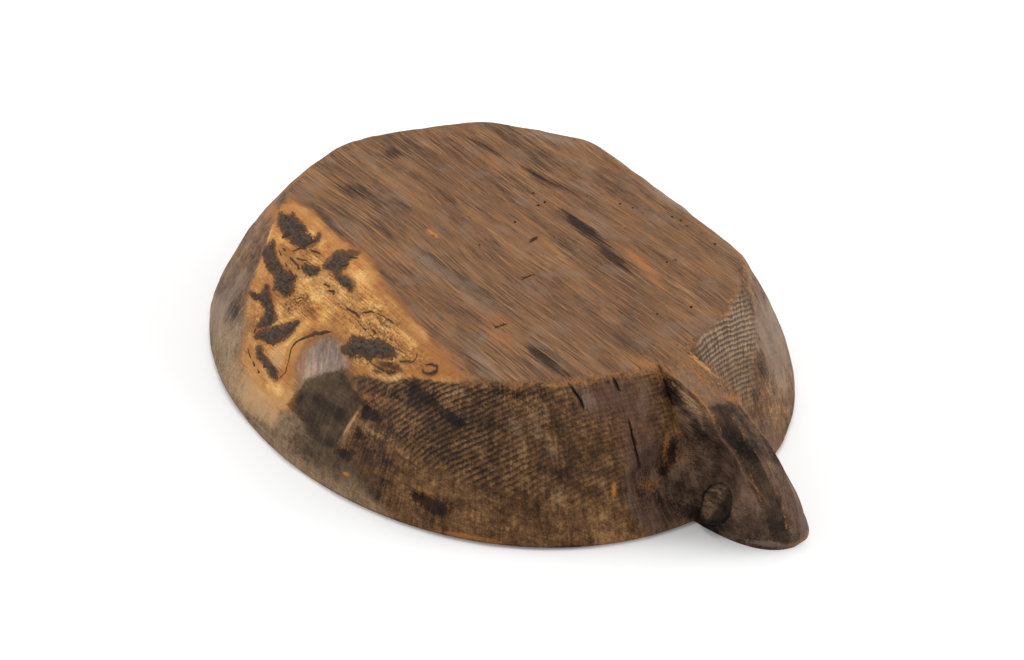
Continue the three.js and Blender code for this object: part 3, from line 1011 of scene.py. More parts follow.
@dataclass(frozen=True)
class Marks:
    """What the picture shows on the wood, by pixel: holes, checks, gouges and stains, and where shade and
    highlight are painted.
    """

    worm_holes: tuple[Spot, ...] = (
        (534, 193), (587, 196), (620, 204), (633, 208), (625, 228), (672, 217), (681, 220), (687, 226),
        (715, 244), (667, 262), (675, 260), (657, 314), (691, 307), (479, 245), (539, 205), (545, 202),
        (515, 222), (554, 237),
    )
    scratches: tuple[tuple[Spot, ...], ...] = (
        ((529, 243), (537, 237)), ((522, 280), (533, 275)), ((496, 328), (507, 324)),
    )
    checks: tuple[tuple[Spot, ...], ...] = (
        ((569, 384), (575, 392), (581, 401), (584, 409)),
        ((613, 377), (616, 383), (619, 391)),
        ((629, 420), (632, 434), (636, 450), (639, 466)),
        ((664, 378), (668, 392), (672, 404)),
    )
    gouges: tuple[Dab, ...] = (
        Dab(640, 470, 6, 34, 5, 0.8), Dab(322, 357, 20, 13, 10, 1.2),
        Dab(586, 392, 10, 8, 0, 0.6), Dab(332, 398, 16, 10, -25, 0.8), Dab(300, 400, 10, 8, 0, 0.6),
        Dab(690, 488, 14, 10, -30, 1.0), Dab(432, 234, 9, 2.2, 33, 0.7),
    )
    shred: float = 2.3
    grey_facet: tuple[Spot, ...] = (
        (300, 379), (297, 366), (303, 351), (312, 344), (322, 341), (331, 341), (337, 347), (342, 356),
        (350, 366), (343, 368), (330, 373), (312, 376),
    )
    notches: tuple[Notch, ...] = (
        Notch(((361, 405), (369, 403), (390, 416), (395, 424), (378, 426), (359, 421)), 1.6),
        Notch(
            ((353, 423), (361, 423), (365, 431), (378, 440), (390, 446), (391, 452), (374, 450), (351, 439)),
            1.7,
        ),
        Notch(((335, 446), (345, 446), (364, 454), (366, 466), (353, 470), (337, 458)), 1.5),
        Notch(((412, 493), (420, 492), (442, 501), (445, 512), (436, 514), (420, 504)), 2.4),
        Notch(((671, 456), (675, 438), (681, 448), (680, 464), (669, 477), (657, 471), (663, 455)), 3.4),
        Notch(
            ((404, 382), (412, 384), (432, 398), (444, 414), (458, 422), (456, 427), (438, 418), (422, 400)),
            1.2,
        ),
    )
    # Ridge crests of the front wall and the handle, each with a painted highlight along it
    ridges: tuple[tuple[Spot, ...], ...] = (
        ((362, 405), (350, 424), (337, 444)), ((347, 382), (362, 395), (369, 402), (391, 418)),
        ((362, 426), (376, 433), (389, 441)),
        ((709, 411), (724, 435), (738, 455), (750, 474), (761, 499), (768, 520)),
        ((729, 408), (740, 429), (762, 462), (772, 485), (781, 501), (787, 529)),
    )
    ringed: tuple[Spot, ...] = (
        (347, 368), (400, 376), (480, 383), (565, 386), (662, 370), (668, 420), (642, 470), (622, 498),
        (560, 502), (500, 492), (450, 470), (408, 452), (392, 430), (366, 398),
    )
    plain_facet: tuple[Spot, ...] = (
        (343, 368), (352, 390), (358, 405), (347, 426), (336, 446), (348, 462), (362, 480), (380, 505),
        (400, 530), (300, 520), (200, 400), (200, 280), (250, 330), (300, 378),
    )
    shaded_facets: tuple[tuple[Spot, ...], ...] = (
        ((288, 405), (297, 394), (307, 382), (326, 374), (340, 371), (350, 384), (361, 401), (354, 413),
         (336, 443), (332, 448), (323, 445), (308, 434), (306, 424)),
        ((709, 410), (718, 406), (731, 407), (742, 433), (761, 462), (772, 488), (781, 509), (788, 533),
         (787, 545), (772, 536), (766, 516), (753, 490), (738, 455), (724, 437)),
    )
    gold: tuple[Spot, ...] = (
        (268, 203), (292, 203), (318, 220), (334, 238), (362, 254), (374, 272), (396, 302), (420, 330),
        (441, 355), (460, 376), (461, 391), (436, 389), (401, 386), (373, 384), (354, 373), (346, 343),
        (330, 331), (305, 342), (298, 366), (291, 388), (296, 404), (276, 407), (257, 391), (243, 360),
        (250, 322), (246, 300), (256, 268), (258, 238),
    )
    stains: dict[StainAndPaintedLight, tuple[Dab, ...]] = field(default_factory=lambda: {
        # Dark stains on the base, and painted shade over the gouges and notches of the walls and handle
        StainAndPaintedLight.DARK: (
            Dab(578, 223, 26, 5, 36, 0.9), Dab(614, 258, 26, 5, 38, 0.9), Dab(596, 240, 36, 9, 37, 0.5),
            Dab(542, 356, 26, 6, 36, 0.8), Dab(560, 372, 24, 5, 30, 0.6), Dab(482, 145, 32, 3, 33, 0.7),
            Dab(552, 182, 38, 5, 27, 0.6), Dab(448, 196, 30, 9, 25, 0.5), Dab(392, 154, 14, 7, 20, 0.7),
            Dab(352, 190, 26, 9, 20, 0.5), Dab(400, 205, 26, 7, 30, 0.5), Dab(500, 262, 20, 6, 30, 0.4),
            Dab(326, 442, 60, 28, 38, 0.5), Dab(740, 446, 10, 7, 50, 0.8), Dab(372, 444, 26, 20, 30, 0.4),
            Dab(402, 432, 26, 14, 20, 0.35), Dab(318, 400, 14, 10, 40, 0.55), Dab(342, 412, 8, 16, 30, 0.55),
            Dab(390, 490, 40, 22, 25, 0.35), Dab(690, 420, 24, 4, 47, 0.7), Dab(757, 472, 8, 20, -30, 0.4),
            Dab(426, 397, 30, 5, 38, 1.1), Dab(450, 417, 15, 5, 32, 1.15), Dab(400, 396, 30, 12, 20, 0.5),
            Dab(490, 392, 80, 9, 2, 0.6), Dab(645, 470, 10, 44, 5, 0.5), Dab(708, 520, 13, 9, 35, 0.8),
            Dab(655, 500, 22, 18, 0, 0.4), Dab(600, 540, 60, 8, -6, 0.4), Dab(690, 512, 18, 10, 20, 0.7),
            Dab(236, 315, 14, 22, 35, 0.6), Dab(670, 388, 8, 14, -20, 0.6), Dab(700, 432, 16, 20, -30, 0.4),
            Dab(720, 505, 16, 6, 30, 0.5), Dab(705, 515, 14, 10, 20, 0.5), Dab(384, 364, 12, 4, 20, 0.8),
            Dab(397, 368, 9, 4, 20, 0.75), Dab(377, 372, 8, 3, 15, 0.7), Dab(300, 398, 4, 9, 40, 0.6),
            Dab(671, 452, 5, 17, 12, 1.2), Dab(664, 470, 8, 5, -30, 1.2), Dab(426, 502, 17, 6, 27, 1.2),
            Dab(440, 510, 7, 6, 27, 1.2), Dab(712, 492, 4, 12, -15, 0.8),
        ),
        StainAndPaintedLight.WARM: (
            Dab(640, 362, 34, 8, 28, 0.6), Dab(500, 340, 34, 4, 38, 0.6), Dab(640, 262, 26, 4, 38, 0.8),
            Dab(520, 168, 44, 5, 36, 0.5), Dab(450, 360, 24, 13, 35, 0.5), Dab(420, 340, 26, 5, 40, 0.6),
            Dab(384, 400, 22, 12, 35, 0.3), Dab(366, 397, 6, 4, 35, 0.8), Dab(465, 536, 42, 3, 9, 0.8),
            Dab(648, 486, 16, 10, 0, 0.4), Dab(448, 507, 2.6, 8, 10, 0.9), Dab(426, 491, 14, 1.8, 24, 0.85),
            Dab(702, 378, 34, 5, 42, 0.4), Dab(732, 398, 12, 6, 42, 0.7), Dab(666, 446, 3, 14, 8, 0.6),
            Dab(308, 226, 40, 16, 35, 0.6), Dab(600, 376, 50, 2, -8, 0.5), Dab(276, 214, 16, 10, 40, 0.7),
            Dab(272, 250, 10, 22, 20, 0.5), Dab(420, 372, 36, 6, 10, 0.45), Dab(560, 255, 40, 5, 38, 0.5),
            Dab(590, 300, 44, 5, 38, 0.4), Dab(660, 285, 30, 4, 38, 0.5), Dab(684, 452, 26, 36, -20, 0.3),
            Dab(390, 369, 42, 8, 8, 0.5), Dab(434, 364, 26, 11, 30, 0.4), Dab(313, 343, 14, 3, -14, 0.9),
            Dab(290, 372, 5, 16, 12, 0.7), Dab(262, 300, 8, 30, 5, 0.5), Dab(345, 246, 24, 7, 30, 0.5),
        ),
        StainAndPaintedLight.GREY: (
            Dab(435, 268, 46, 12, 32, 0.6), Dab(478, 356, 30, 9, 42, 0.7), Dab(550, 138, 40, 6, 12, 0.8),
            Dab(665, 198, 34, 6, 33, 0.7), Dab(582, 274, 16, 6, 20, 0.5), Dab(520, 315, 26, 6, 20, 0.4),
            Dab(520, 425, 60, 26, -10, 0.35), Dab(570, 470, 50, 30, -12, 0.4), Dab(588, 398, 20, 12, 0, 0.6),
            Dab(640, 405, 10, 30, 0, 0.4), Dab(224, 300, 20, 50, 30, 0.7),
            Dab(764, 543, 26, 3.5, 6, 0.9), Dab(764, 505, 12, 22, -25, 0.4), Dab(772, 335, 20, 70, -8, 0.8),
            Dab(400, 195, 30, 12, 40, 0.4),
        ),
        # Pale wood; the thin dabs along the front wall's ridges are painted highlight on their crests
        StainAndPaintedLight.PALE: (
            Dab(247, 390, 18, 34, -33, 0.75), Dab(268, 412, 14, 24, -40, 0.55),
            Dab(277, 358, 8, 15, 10, 0.9), Dab(286, 270, 10, 20, 0, 0.3), Dab(700, 362, 22, 1.6, 42, 1.0),
            Dab(690, 402, 26, 6, 48, 0.5), Dab(377, 434.5, 16, 3, 31, 0.55),
            Dab(350, 424, 22, 2.0, -57, 0.6),
        ),
        StainAndPaintedLight.SHADE: (
            Dab(314, 458, 56, 22, 38, 0.6), Dab(372, 470, 40, 30, 25, 0.4),
        ),
        StainAndPaintedLight.HATCH: (
            Dab(716, 338, 26, 34, 0, 1.0), Dab(740, 320, 18, 40, -10, 0.8), Dab(742, 390, 22, 40, -20, 0.5),
        ),
        StainAndPaintedLight.FRASS: (
            Dab(297, 303, 16, 16, 0, 1.0), Dab(385, 320, 26, 12, 45, 0.8), Dab(310, 250, 20, 8, 45, 0.6),
            Dab(400, 350, 26, 10, 35, 0.8), Dab(300, 265, 14, 10, 0, 0.6), Dab(335, 290, 40, 18, 40, 0.5),
            Dab(362, 328, 30, 14, 40, 0.7), Dab(372, 362, 30, 8, 18, 0.7), Dab(262, 330, 9, 34, -10, 0.6),
        ),
        StainAndPaintedLight.PLUM: (
            Dab(610, 398, 44, 22, -8, 0.9), Dab(640, 440, 24, 44, 5, 0.8), Dab(652, 515, 30, 26, 0, 0.6),
            Dab(775, 440, 14, 50, -35, 0.7), Dab(795, 500, 14, 40, -15, 0.7),
            Dab(755, 510, 10, 36, -20, 0.5), Dab(725, 470, 14, 30, -10, 0.5),
        ),
        StainAndPaintedLight.NICK: (
            Dab(433, 234, 9, 1.8, 33, 1.0), Dab(698, 361, 15, 1.8, 42, 0.8), Dab(614, 490, 2.6, 11, 0, 0.9),
            Dab(346, 474, 5, 3, 30, 0.8), Dab(443, 466, 5, 3, -20, 0.6), Dab(731, 300, 6, 2, -30, 0.7),
        ),
        StainAndPaintedLight.RIDGED: (
            Dab(345, 205, 26, 16, 45, 0.9), Dab(378, 230, 26, 14, 45, 1.0), Dab(465, 345, 30, 14, 40, 0.7),
        ),
    })


@dataclass(frozen=True)
class Ripple:
    """One layer of noise on the skin: its lift, the span of its grains, and the pattern it picks."""

    lift: float
    span: Union[float, Place]
    seed: int

    def at(self, places: Array) -> Array:
        """The lift at each place: noise on the places, counted in spans."""
        return self.lift * noise(places / self.span, self.seed)


@dataclass(frozen=True)
class Dishes:
    """Shallow dishes side by side, as a blade leaves them, with their width taken at a radius."""

    depth: float
    width: float
    radius: float
    height: float
    seed: int
    ridge: float = 0.9
    level: float = 0.35

    def at(self, turn: Array, rise: Array) -> Array:
        """Lift at an angle and a height: the dishes' curve, cut off at its ridges and levelled."""
        cells = stack(turn * self.radius / self.width, rise / self.height)
        return self.depth * (np.minimum(scallops(cells, self.seed), self.ridge) - self.level)


@dataclass(frozen=True)
class Fades:
    """Where each part of the skin begins and where it is whole.

    The values are millimetres, pixels from a line or inside an outline, or plain shares.
    """

    hollow: Spot = (1.07, 1.03)
    past_wall: Spot = (0.3, 1.5)
    handle_along: Spot = (135, 150)
    handle_across: Spot = (40, 34)
    scoop: Spot = (3.0, 1.0)
    level: Spot = (0.8, 0.95)
    strip_end: Spot = (196, 193.5)
    strip_fall: Spot = (110, 140)
    under_base: Spot = (-1.0, -0.3)
    long_wall: Spot = (0.32, 0.02)
    log_round: Spot = (3.0, 0.8)
    seen: Spot = (0.0, 0.12)
    pits_seen: Spot = (0.02, 0.2)
    ringed: Spot = (-16.0, 10.0)
    faint_rings: Spot = (470.0, 560.0)
    plain: Spot = (-7.0, 7.0)
    off_table: Spot = (1.0, 4.0)
    off_hollow: Spot = (1.02, 1.06)
    scoop_edge: Spot = (7.0, 1.0)
    scoop_mouth: Spot = (-34, -44)
    off_knot: Spot = (13.0, 15.0)
    bulge: Spot = (0.06, 0.3)
    off_cuts: Spot = (2.0, 6.0)
    corner_steep: Spot = (0.9, 0.84)
    corner_level: Spot = (0.72, 0.8)
    corner_drop: Spot = (-6, -2)
    rim: Spot = (4.5, 1.5)
    rim_broken: Spot = (-0.15, 0.2)
    bulge_high: Spot = (2.0, 12.0)
    # Where the painted shade along checks and scratches fades out
    check_shade: Spot = (1.8, 0.3)
    shaded: Spot = (-6.0, 4.0)
    crest: Spot = (1.5, 0.2)
    border_in: Spot = (18.0, 4.0)
    border_out: Spot = (-10.0, -2.0)
    rust: Spot = (6.0, 0.5)
    scar: Spot = (2.6, -0.8)
    facet: Spot = (-9.0, 6.0)
    gold: Spot = (-12.0, 10.0)


@dataclass
class Timber:
    """The whole block of wood: bowl, handle, scoop, hollow and socket, with its skin worked over.

    The camera places the picture's marks, and the bark is the strips that left rust round them.
    """

    bowl: BowlShape
    handle: HandleShape
    knot: KnotShape
    view: PhotoView
    bark: Sequence["Shred"]
    marks: Marks = Marks()
    fades: Fades = Fades()
    adze: Dishes = Dishes(1.1, 30, 165, 25, 21)
    gouge: Dishes = Dishes(0.9, 26, 120, 20, 31)
    base_waves: tuple[Ripple, ...] = (Ripple(0.3, (150, 17, 17), 11), Ripple(0.2, (70, 5.6, 5.6), 12))
    wall_rough: tuple[Ripple, ...] = (Ripple(0.3, 9, 22), Ripple(0.2, 4.6, 23))
    hollow_rough: Ripple = Ripple(0.1, 7, 32)
    tool_marks: tuple[Ripple, ...] = (Ripple(0.25, (16, 7, 9), 41), Ripple(0.15, 5, 42))
    crest_wander: Ripple = Ripple(1.3, 4, 81)
    rim_wander: Ripple = Ripple(1.0, 26, 82)
    # Shares of the dishes and of the roughness that the log's own round lacks
    round_lacks: Spot = (0.85, 0.6)
    socket_gap: float = 0.3
    crease: float = 30.0
    # How far below the base its finish reaches, and how much farther along the handle
    base_drop: Spot = (4.0, 22.0)
    # How much of the long walls' finish there is out of sight, and how much more in sight
    side_shares: Spot = (0.55, 0.45)
    side_yields: float = 0.8
    right_fades: float = 0.5
    # How strong the rings are out of sight, in sight, and how much more where the picture shows them
    ring_shares: Place = (0.28, 0.1, 0.9)
    smooth_rounds: int = 8
    smooth_share: float = 0.5
    lift_limit: float = 0.6
    # A beetle hole's least radius and how much wider its lean makes it, and its reach down and up
    hole_radius: Spot = (0.85, 0.35)
    hole_reach: Spot = (6.0, 2.5)
    hole_lean: float = 2.0
    hole_taper: float = 0.8
    hole_sides: int = 10
    hole_seed: int = 51
    # Half width and depth of a drying check and of a knife scratch
    check_cut: Spot = (0.42, 5.0)
    scratch_cut: Spot = (0.45, 1.2)
    cut_wander: Ripple = Ripple(0.35, 2.5, 61)
    cut_steps: int = 9
    cut_tip: float = 0.12
    cut_foot: float = 0.05
    cut_least: float = 0.3
    cut_proud: float = 2.5
    cut_ends: float = 0.1
    even_edge: float = 6.0
    bulge_rounds: int = 2
    pit_margin: float = 2.0
    rim_share: float = 0.8
    crest_share: float = 0.5
    border_share: float = 0.85
    # How much gold there is off the log's round, and how much more on it
    gold_shares: Spot = (0.1, 0.9)

    def build(self) -> bpy.types.Object:
        """Joins and cuts the shapes, wears and works the skin, and keeps its zones, stains, painted shade
        and painted highlight.

        Returns:
            The finished block.
        """
        wood = self.bowl.outside().to_object("timber")
        carve(wood, self.handle.keel(), Join.ADD)
        carve(wood, self.handle.scoop(), Join.CUT)
        carve(wood, self.bowl.hollow(), Join.CUT)
        carve(wood, self.knot.socket(self.socket_gap), Join.CUT)
        self.work_skin(wood.data)
        carve(wood, self.worm_holes(), Join.CUT)
        carve(wood, self.checks(wood), Join.CUT)
        self.keep_zones(wood.data)
        shade_by_angle(wood.data, self.crease)
        return wood

    def zones(self, points: Array, normals: Array) -> dict[Zone, Array]:
        """How far each point belongs to each part of the skin, from 0 to 1.

        Args:
            points: in the bowl's frame.
            normals: outward directions there.

        Returns:
            The share of each zone.
        """
        fade = self.fades
        x, y, z = points.T
        hollow = smoothstep(*fade.hollow, self.bowl.hollow_level(points))
        past = smoothstep(*fade.past_wall, self.bowl.outside_level(points))
        near = smoothstep(*fade.handle_along, x) * smoothstep(*fade.handle_across, np.abs(y))
        scooped = smoothstep(*fade.scoop, np.abs(self.handle.scoop_level(points)))
        handle = np.maximum(past * near, scooped) * (1 - hollow)
        level = smoothstep(*fade.level, normals[:, 2]) * (1 - hollow)
        strip = smoothstep(*fade.strip_end, x)
        fall = self.base_drop[0] + self.base_drop[1] * smoothstep(*fade.strip_fall, x)
        flat = level * smoothstep(*fade.under_base, (z - self.bowl.height) / fall) * strip
        turned = swung(points, -self.bowl.log.skew)
        outward = turned[:, :2] / np.square(self.bowl.rim)
        along = np.abs(outward[:, 0]) / np.maximum(np.linalg.norm(outward, axis=1), 1e-9)
        side = np.maximum(smoothstep(*fade.long_wall, along), self.on_round(points))
        pixels = self.view.pixels(points)
        seen = self.seen(points, normals, hollow)
        shown = smoothstep(*fade.ringed, outline_depth(pixels, self.marks.ringed))
        side = side * (1 - hollow) * (1 - flat) * (1 - handle)
        least, more = self.side_shares
        side = side * (least + more * seen) * (1 - self.side_yields * shown * seen)
        plain = smoothstep(*fade.plain, outline_depth(pixels, self.marks.plain_facet)) * seen * (1 - flat)
        shown = shown * (1 - self.right_fades * smoothstep(*fade.faint_rings, pixels[:, 0]))
        hidden, least, more = self.ring_shares
        return {
            Zone.HOLLOW: hollow, Zone.HANDLE: handle, Zone.FLAT: flat, Zone.SIDE: np.maximum(side, plain),
            Zone.RINGED: hidden + seen * (least + more * shown - hidden),
        }

    def on_round(self, points: Array) -> Array:
        """How far points belong to the log's own round, from 0 to 1."""
        return smoothstep(*self.fades.log_round, np.abs(self.bowl.log.depth_of(points)))

    def seen(self, points: Array, normals: Array, hollow: Array) -> Array:
        """How far points face the picture's camera and lie outside the hollow, from 0 to 1."""
        return smoothstep(*self.fades.seen, self.view.facing(points, normals)) * (1 - hollow)

    def work_skin(self, mesh: bpy.types.Mesh) -> None:
        """Rounds the scoop's edges and the handle's ridges, then lifts and sinks the skin along itself.

        Args:
            mesh: the block's mesh, which is changed.
        """
        fade = self.fades
        points = read_points(mesh)
        edges = read_edges(mesh)
        clear = smoothstep(*fade.off_table, points[:, 2])
        clear = clear * smoothstep(*fade.off_hollow, self.bowl.hollow_level(points))
        root = smoothstep(*fade.scoop_edge, np.abs(self.handle.scoop_level(points)))
        root = root * smoothstep(*fade.scoop_mouth, points[:, 1])
        clear_knot = smoothstep(*fade.off_knot, np.linalg.norm(points - self.knot.place, axis=1))
        give = self.smooth_share * clear * clear_knot * root
        for _ in range(self.smooth_rounds):
            points = points + give[:, None] * (neighbour_mean(points, edges) - points)
        write_points(mesh, points)
        normals = read_normals(mesh)
        points = points + (clear * self.relief(points, normals))[:, None] * normals
        points[:, 2] = np.clip(points[:, 2], 0.0, self.bowl.height + self.lift_limit)
        write_points(mesh, points)

    def relief(self, points: Array, normals: Array) -> Array:
        """Millimetres that the skin stands off its plain shape.

        The base has waves and raised lines along the grain, the walls have an adze's dishes with rough
        end grain on them, the hollow has its own dishes, and the gouges of the picture sink in.

        Args:
            points: in the bowl's frame.
            normals: outward directions there.

        Returns:
            Lift along the normals.
        """
        zone = self.zones(points, normals)
        grain = swung(points, -self.bowl.log.skew)
        turn = np.arctan2(grain[:, 1], grain[:, 0])
        waves = sum(wave.at(grain) for wave in self.base_waves)
        on_round = self.on_round(points)
        dishes = self.adze.at(turn, grain[:, 2]) * (1 - self.round_lacks[0] * on_round)
        rough = sum(layer.at(points) for layer in self.wall_rough) * (1 - self.round_lacks[1] * on_round)
        carved = self.gouge.at(turn, grain[:, 2]) + self.hollow_rough.at(points)
        tool = sum(mark.at(points) for mark in self.tool_marks)
        wall = dishes + rough
        lift = wall + zone[Zone.FLAT] * (waves - wall)
        lift = lift + zone[Zone.HANDLE] * (1 - zone[Zone.FLAT]) * (tool - lift)
        lift = lift + zone[Zone.HOLLOW] * (carved - lift)
        seen = smoothstep(*self.fades.pits_seen, self.view.facing(points, normals)) * (1 - zone[Zone.HOLLOW])
        pixels = self.view.pixels(points)
        for gouge in self.marks.gouges:
            cover = dab_cover(pixels, [Dab(gouge.x, gouge.y, gouge.long, gouge.wide, gouge.turn)])
            lift = lift - gouge.weight * cover * seen
        for notch in self.marks.notches:
            lift = lift - notch.depth * notch.cover(pixels) * seen
        return lift

    def worm_holes(self) -> Surface:
        """Beetle holes in the base, as short tubes that lean a little, where the picture shows them.

        Returns:
            The tubes for cutting.
        """
        spots = np.array(self.marks.worm_holes)
        eye = self.view.eye()
        rays = self.view.rays(spots)
        mouths = eye + rays * ((self.bowl.height - eye[2]) / rays[:, 2])[:, None]
        cells = spots.astype(int)
        lean = scatter(np.stack([cells, cells[:, ::-1]], axis=0), self.hole_seed).T - 0.5
        turn = np.arange(self.hole_sides) / self.hole_sides * TURN
        below, above = self.hole_reach
        tubes = []
        for mouth, tilt in zip(mouths, lean):
            radius = self.hole_radius[0] + self.hole_radius[1] * abs(tilt[0])
            ring = radius * stack(np.cos(turn), np.sin(turn), 0 * turn)
            slope = np.array((self.hole_lean * tilt[0], self.hole_lean * tilt[1], 1.0))
            deep = mouth - below * slope + ring * self.hole_taper
            tubes.append(tube(np.stack([deep, mouth + above * slope + ring])))
        return together(tubes)

    def checks(self, wood: bpy.types.Object) -> Surface:
        """Drying checks and knife scratches, as thin wedges along lines that the picture shows.

        Args:
            wood: the block, which each line of sight meets.

        Returns:
            The wedges for cutting.
        """
        tree = BVHTree.FromObject(wood, bpy.context.evaluated_depsgraph_get())
        start = Vector((self.view.eye() + PART_SHIFT) * MM)
        cuts = [(line, *self.check_cut) for line in self.marks.checks]
        cuts += [(line, *self.scratch_cut) for line in self.marks.scratches]
        wedges = []
        for line, width, depth in cuts:
            spots = np.array(line, dtype=float)
            place = np.linspace(0, len(spots) - 1, self.cut_steps)
            spots = np.stack([np.interp(place, np.arange(len(spots)), spots[:, k]) for k in (0, 1)], axis=-1)
            hits = [tree.ray_cast(start, Vector(ray).normalized())[:2] for ray in self.view.rays(spots)]
            met = np.array([tuple(hit) for hit, _ in hits]) / MM - PART_SHIFT
            normal = np.array([tuple(normal) for _, normal in hits]).mean(axis=0)
            normal = normal / np.linalg.norm(normal)
            path = np.gradient(met, axis=0)
            across = np.cross(normal, path)
            across = across / np.linalg.norm(across, axis=1)[:, None]
            met = met + across * self.cut_wander.at(met[:, [0, 2]])[:, None]
            wide = (self.cut_tip + np.sin(np.linspace(0, math.pi, len(met))) * width)[:, None]
            swing = np.linspace(self.cut_ends, math.pi - self.cut_ends, len(met))
            sunk = met - normal * (self.cut_least + depth * np.sin(swing))[:, None]
            proud = met + normal * self.cut_proud
            foot = across * self.cut_foot
            corners = [proud - across * wide, proud + across * wide, sunk + foot, sunk - foot]
            wedges.append(tube(np.stack(corners, axis=1)))
        return together(wedges)

    def worn_edges(self, mesh: bpy.types.Mesh, cuts: Array, pixels: Array, hollow: Array) -> Array:
        """Where use has rubbed the edges: on bulges of the skin, the base's corner and parts of the rim.

        A bulge is a point that stands out along its normal from the mean of its neighbours.

        Args:
            mesh: the block's mesh.
            cuts: pixels from the nearest check or scratch.
            pixels: each point's place in the picture.
            hollow: each point's share of the hollow.

        Returns:
            Wear from 0 to 1.
        """
        fade = self.fades
        points = read_points(mesh)
        normals = read_normals(mesh)
        edges = read_edges(mesh)
        span = np.linalg.norm(points[edges[:, 0]] - points[edges[:, 1]], axis=1)
        even = edges[span < self.even_edge]
        bulge = -((neighbour_mean(points, even) - points) * normals).sum(axis=1)
        for _ in range(self.bulge_rounds):
            bulge = 0.5 * bulge + 0.5 * neighbour_mean(bulge, even)
        rims = np.min([np.abs(outline_depth(pixels, notch.outline)) for notch in self.marks.notches], axis=0)
        clear = smoothstep(*fade.off_cuts, np.minimum(cuts, rims - self.pit_margin))
        bulge = smoothstep(*fade.bulge, bulge) * clear
        slope = smoothstep(*fade.corner_steep, normals[:, 2]) * smoothstep(*fade.corner_level, normals[:, 2])
        low, high = (self.bowl.height + drop for drop in fade.corner_drop)
        corner = slope * smoothstep(low, high, points[:, 2])
        rim = smoothstep(*fade.rim, points[:, 2]) * smoothstep(*fade.rim_broken, self.rim_wander.at(points))
        rim = self.rim_share * rim * (1 - hollow)
        return np.max([bulge * smoothstep(*fade.bulge_high, points[:, 2]), corner, rim], axis=0)

    def keep_zones(self, mesh: bpy.types.Mesh) -> None:
        """Works out each point's zones, worn edges, stains, painted shade and painted highlight, and keeps
        them on the mesh.

        Args:
            mesh: the block's mesh.
        """
        fade = self.fades
        points = read_points(mesh)
        normals = read_normals(mesh)
        zone = self.zones(points, normals)
        pixels = self.view.pixels(points)
        seen = self.seen(points, normals, zone[Zone.HOLLOW])
        cuts = nearest_line(pixels, self.marks.checks + self.marks.scratches)
        zone[Zone.EDGE] = self.worn_edges(mesh, cuts, pixels, zone[Zone.HOLLOW])
        for name, values in zone.items():
            write_attribute(mesh, name.value, values)
        for name, dabs in self.marks.stains.items():
            cover = dab_cover(pixels, dabs)
            if name is StainAndPaintedLight.DARK:
                # Painted shade: dark in each notch's pit and along the checks and scratches
                pits = np.max([notch.cover(pixels) for notch in self.marks.notches], axis=0)
                cover = np.max([cover, smoothstep(*fade.check_shade, cuts), pits], axis=0)
            if name is StainAndPaintedLight.SHADE:
                facets = np.max([outline_depth(pixels, facet) for facet in self.marks.shaded_facets], axis=0)
                cover = np.maximum(cover, smoothstep(*fade.shaded, facets))
            if name is StainAndPaintedLight.WARM:
                # Painted highlight: a warm line along each ridge crest
                crest = nearest_line(pixels, self.marks.ridges) + self.crest_wander.at(pixels)
                cover = np.maximum(cover, self.crest_share * smoothstep(*fade.crest, crest))
            write_attribute(mesh, name.value, seen * cover)
        self.keep_wane(mesh, pixels, seen, np.maximum(self.on_round(points), zone[Zone.FLAT]))

    def keep_wane(self, mesh: bpy.types.Mesh, pixels: Array, seen: Array, carried: Array) -> None:
        """Works out the stains that the bark left: rust and scars round it, bare grey and gold.

        Args:
            mesh: the block's mesh.
            pixels: each point's place in the picture.
            seen: how far each point is in sight.
            carried: each point's share of the log's round and the base.
        """
        fade = self.fades
        near = nearest_line(pixels, [shred.line for shred in self.bark])
        inside = outline_depth(pixels, self.marks.gold)
        border = self.border_share * smoothstep(*fade.border_in, inside)
        border = border * smoothstep(*fade.border_out, inside) * carried
        rust = np.maximum(smoothstep(*fade.rust, near), border)
        write_attribute(mesh, StainAndPaintedLight.RUST.value, seen * rust)
        broad = [shred.line for shred in self.bark if shred.widest() > self.marks.shred]
        scar = smoothstep(*fade.scar, nearest_line(pixels, broad))
        write_attribute(mesh, StainAndPaintedLight.SCAR.value, seen * scar)
        facet = smoothstep(*fade.facet, outline_depth(pixels, self.marks.grey_facet))
        write_attribute(mesh, StainAndPaintedLight.FACET.value, facet * seen)
        bare = self.gold_shares[0] + self.gold_shares[1] * carried
        gold = smoothstep(*fade.gold, inside) * seen * bare * (1 - facet)
        write_attribute(mesh, StainAndPaintedLight.GOLD.value, gold)


@dataclass(frozen=True)
class Shred:
    """A strip of bark on the wane: pixels along its middle, each with its half width there."""

    line: tuple[Place, ...]

    def widest(self) -> float:
        """Its greatest half width."""
        return max(half for _, _, half in self.line)


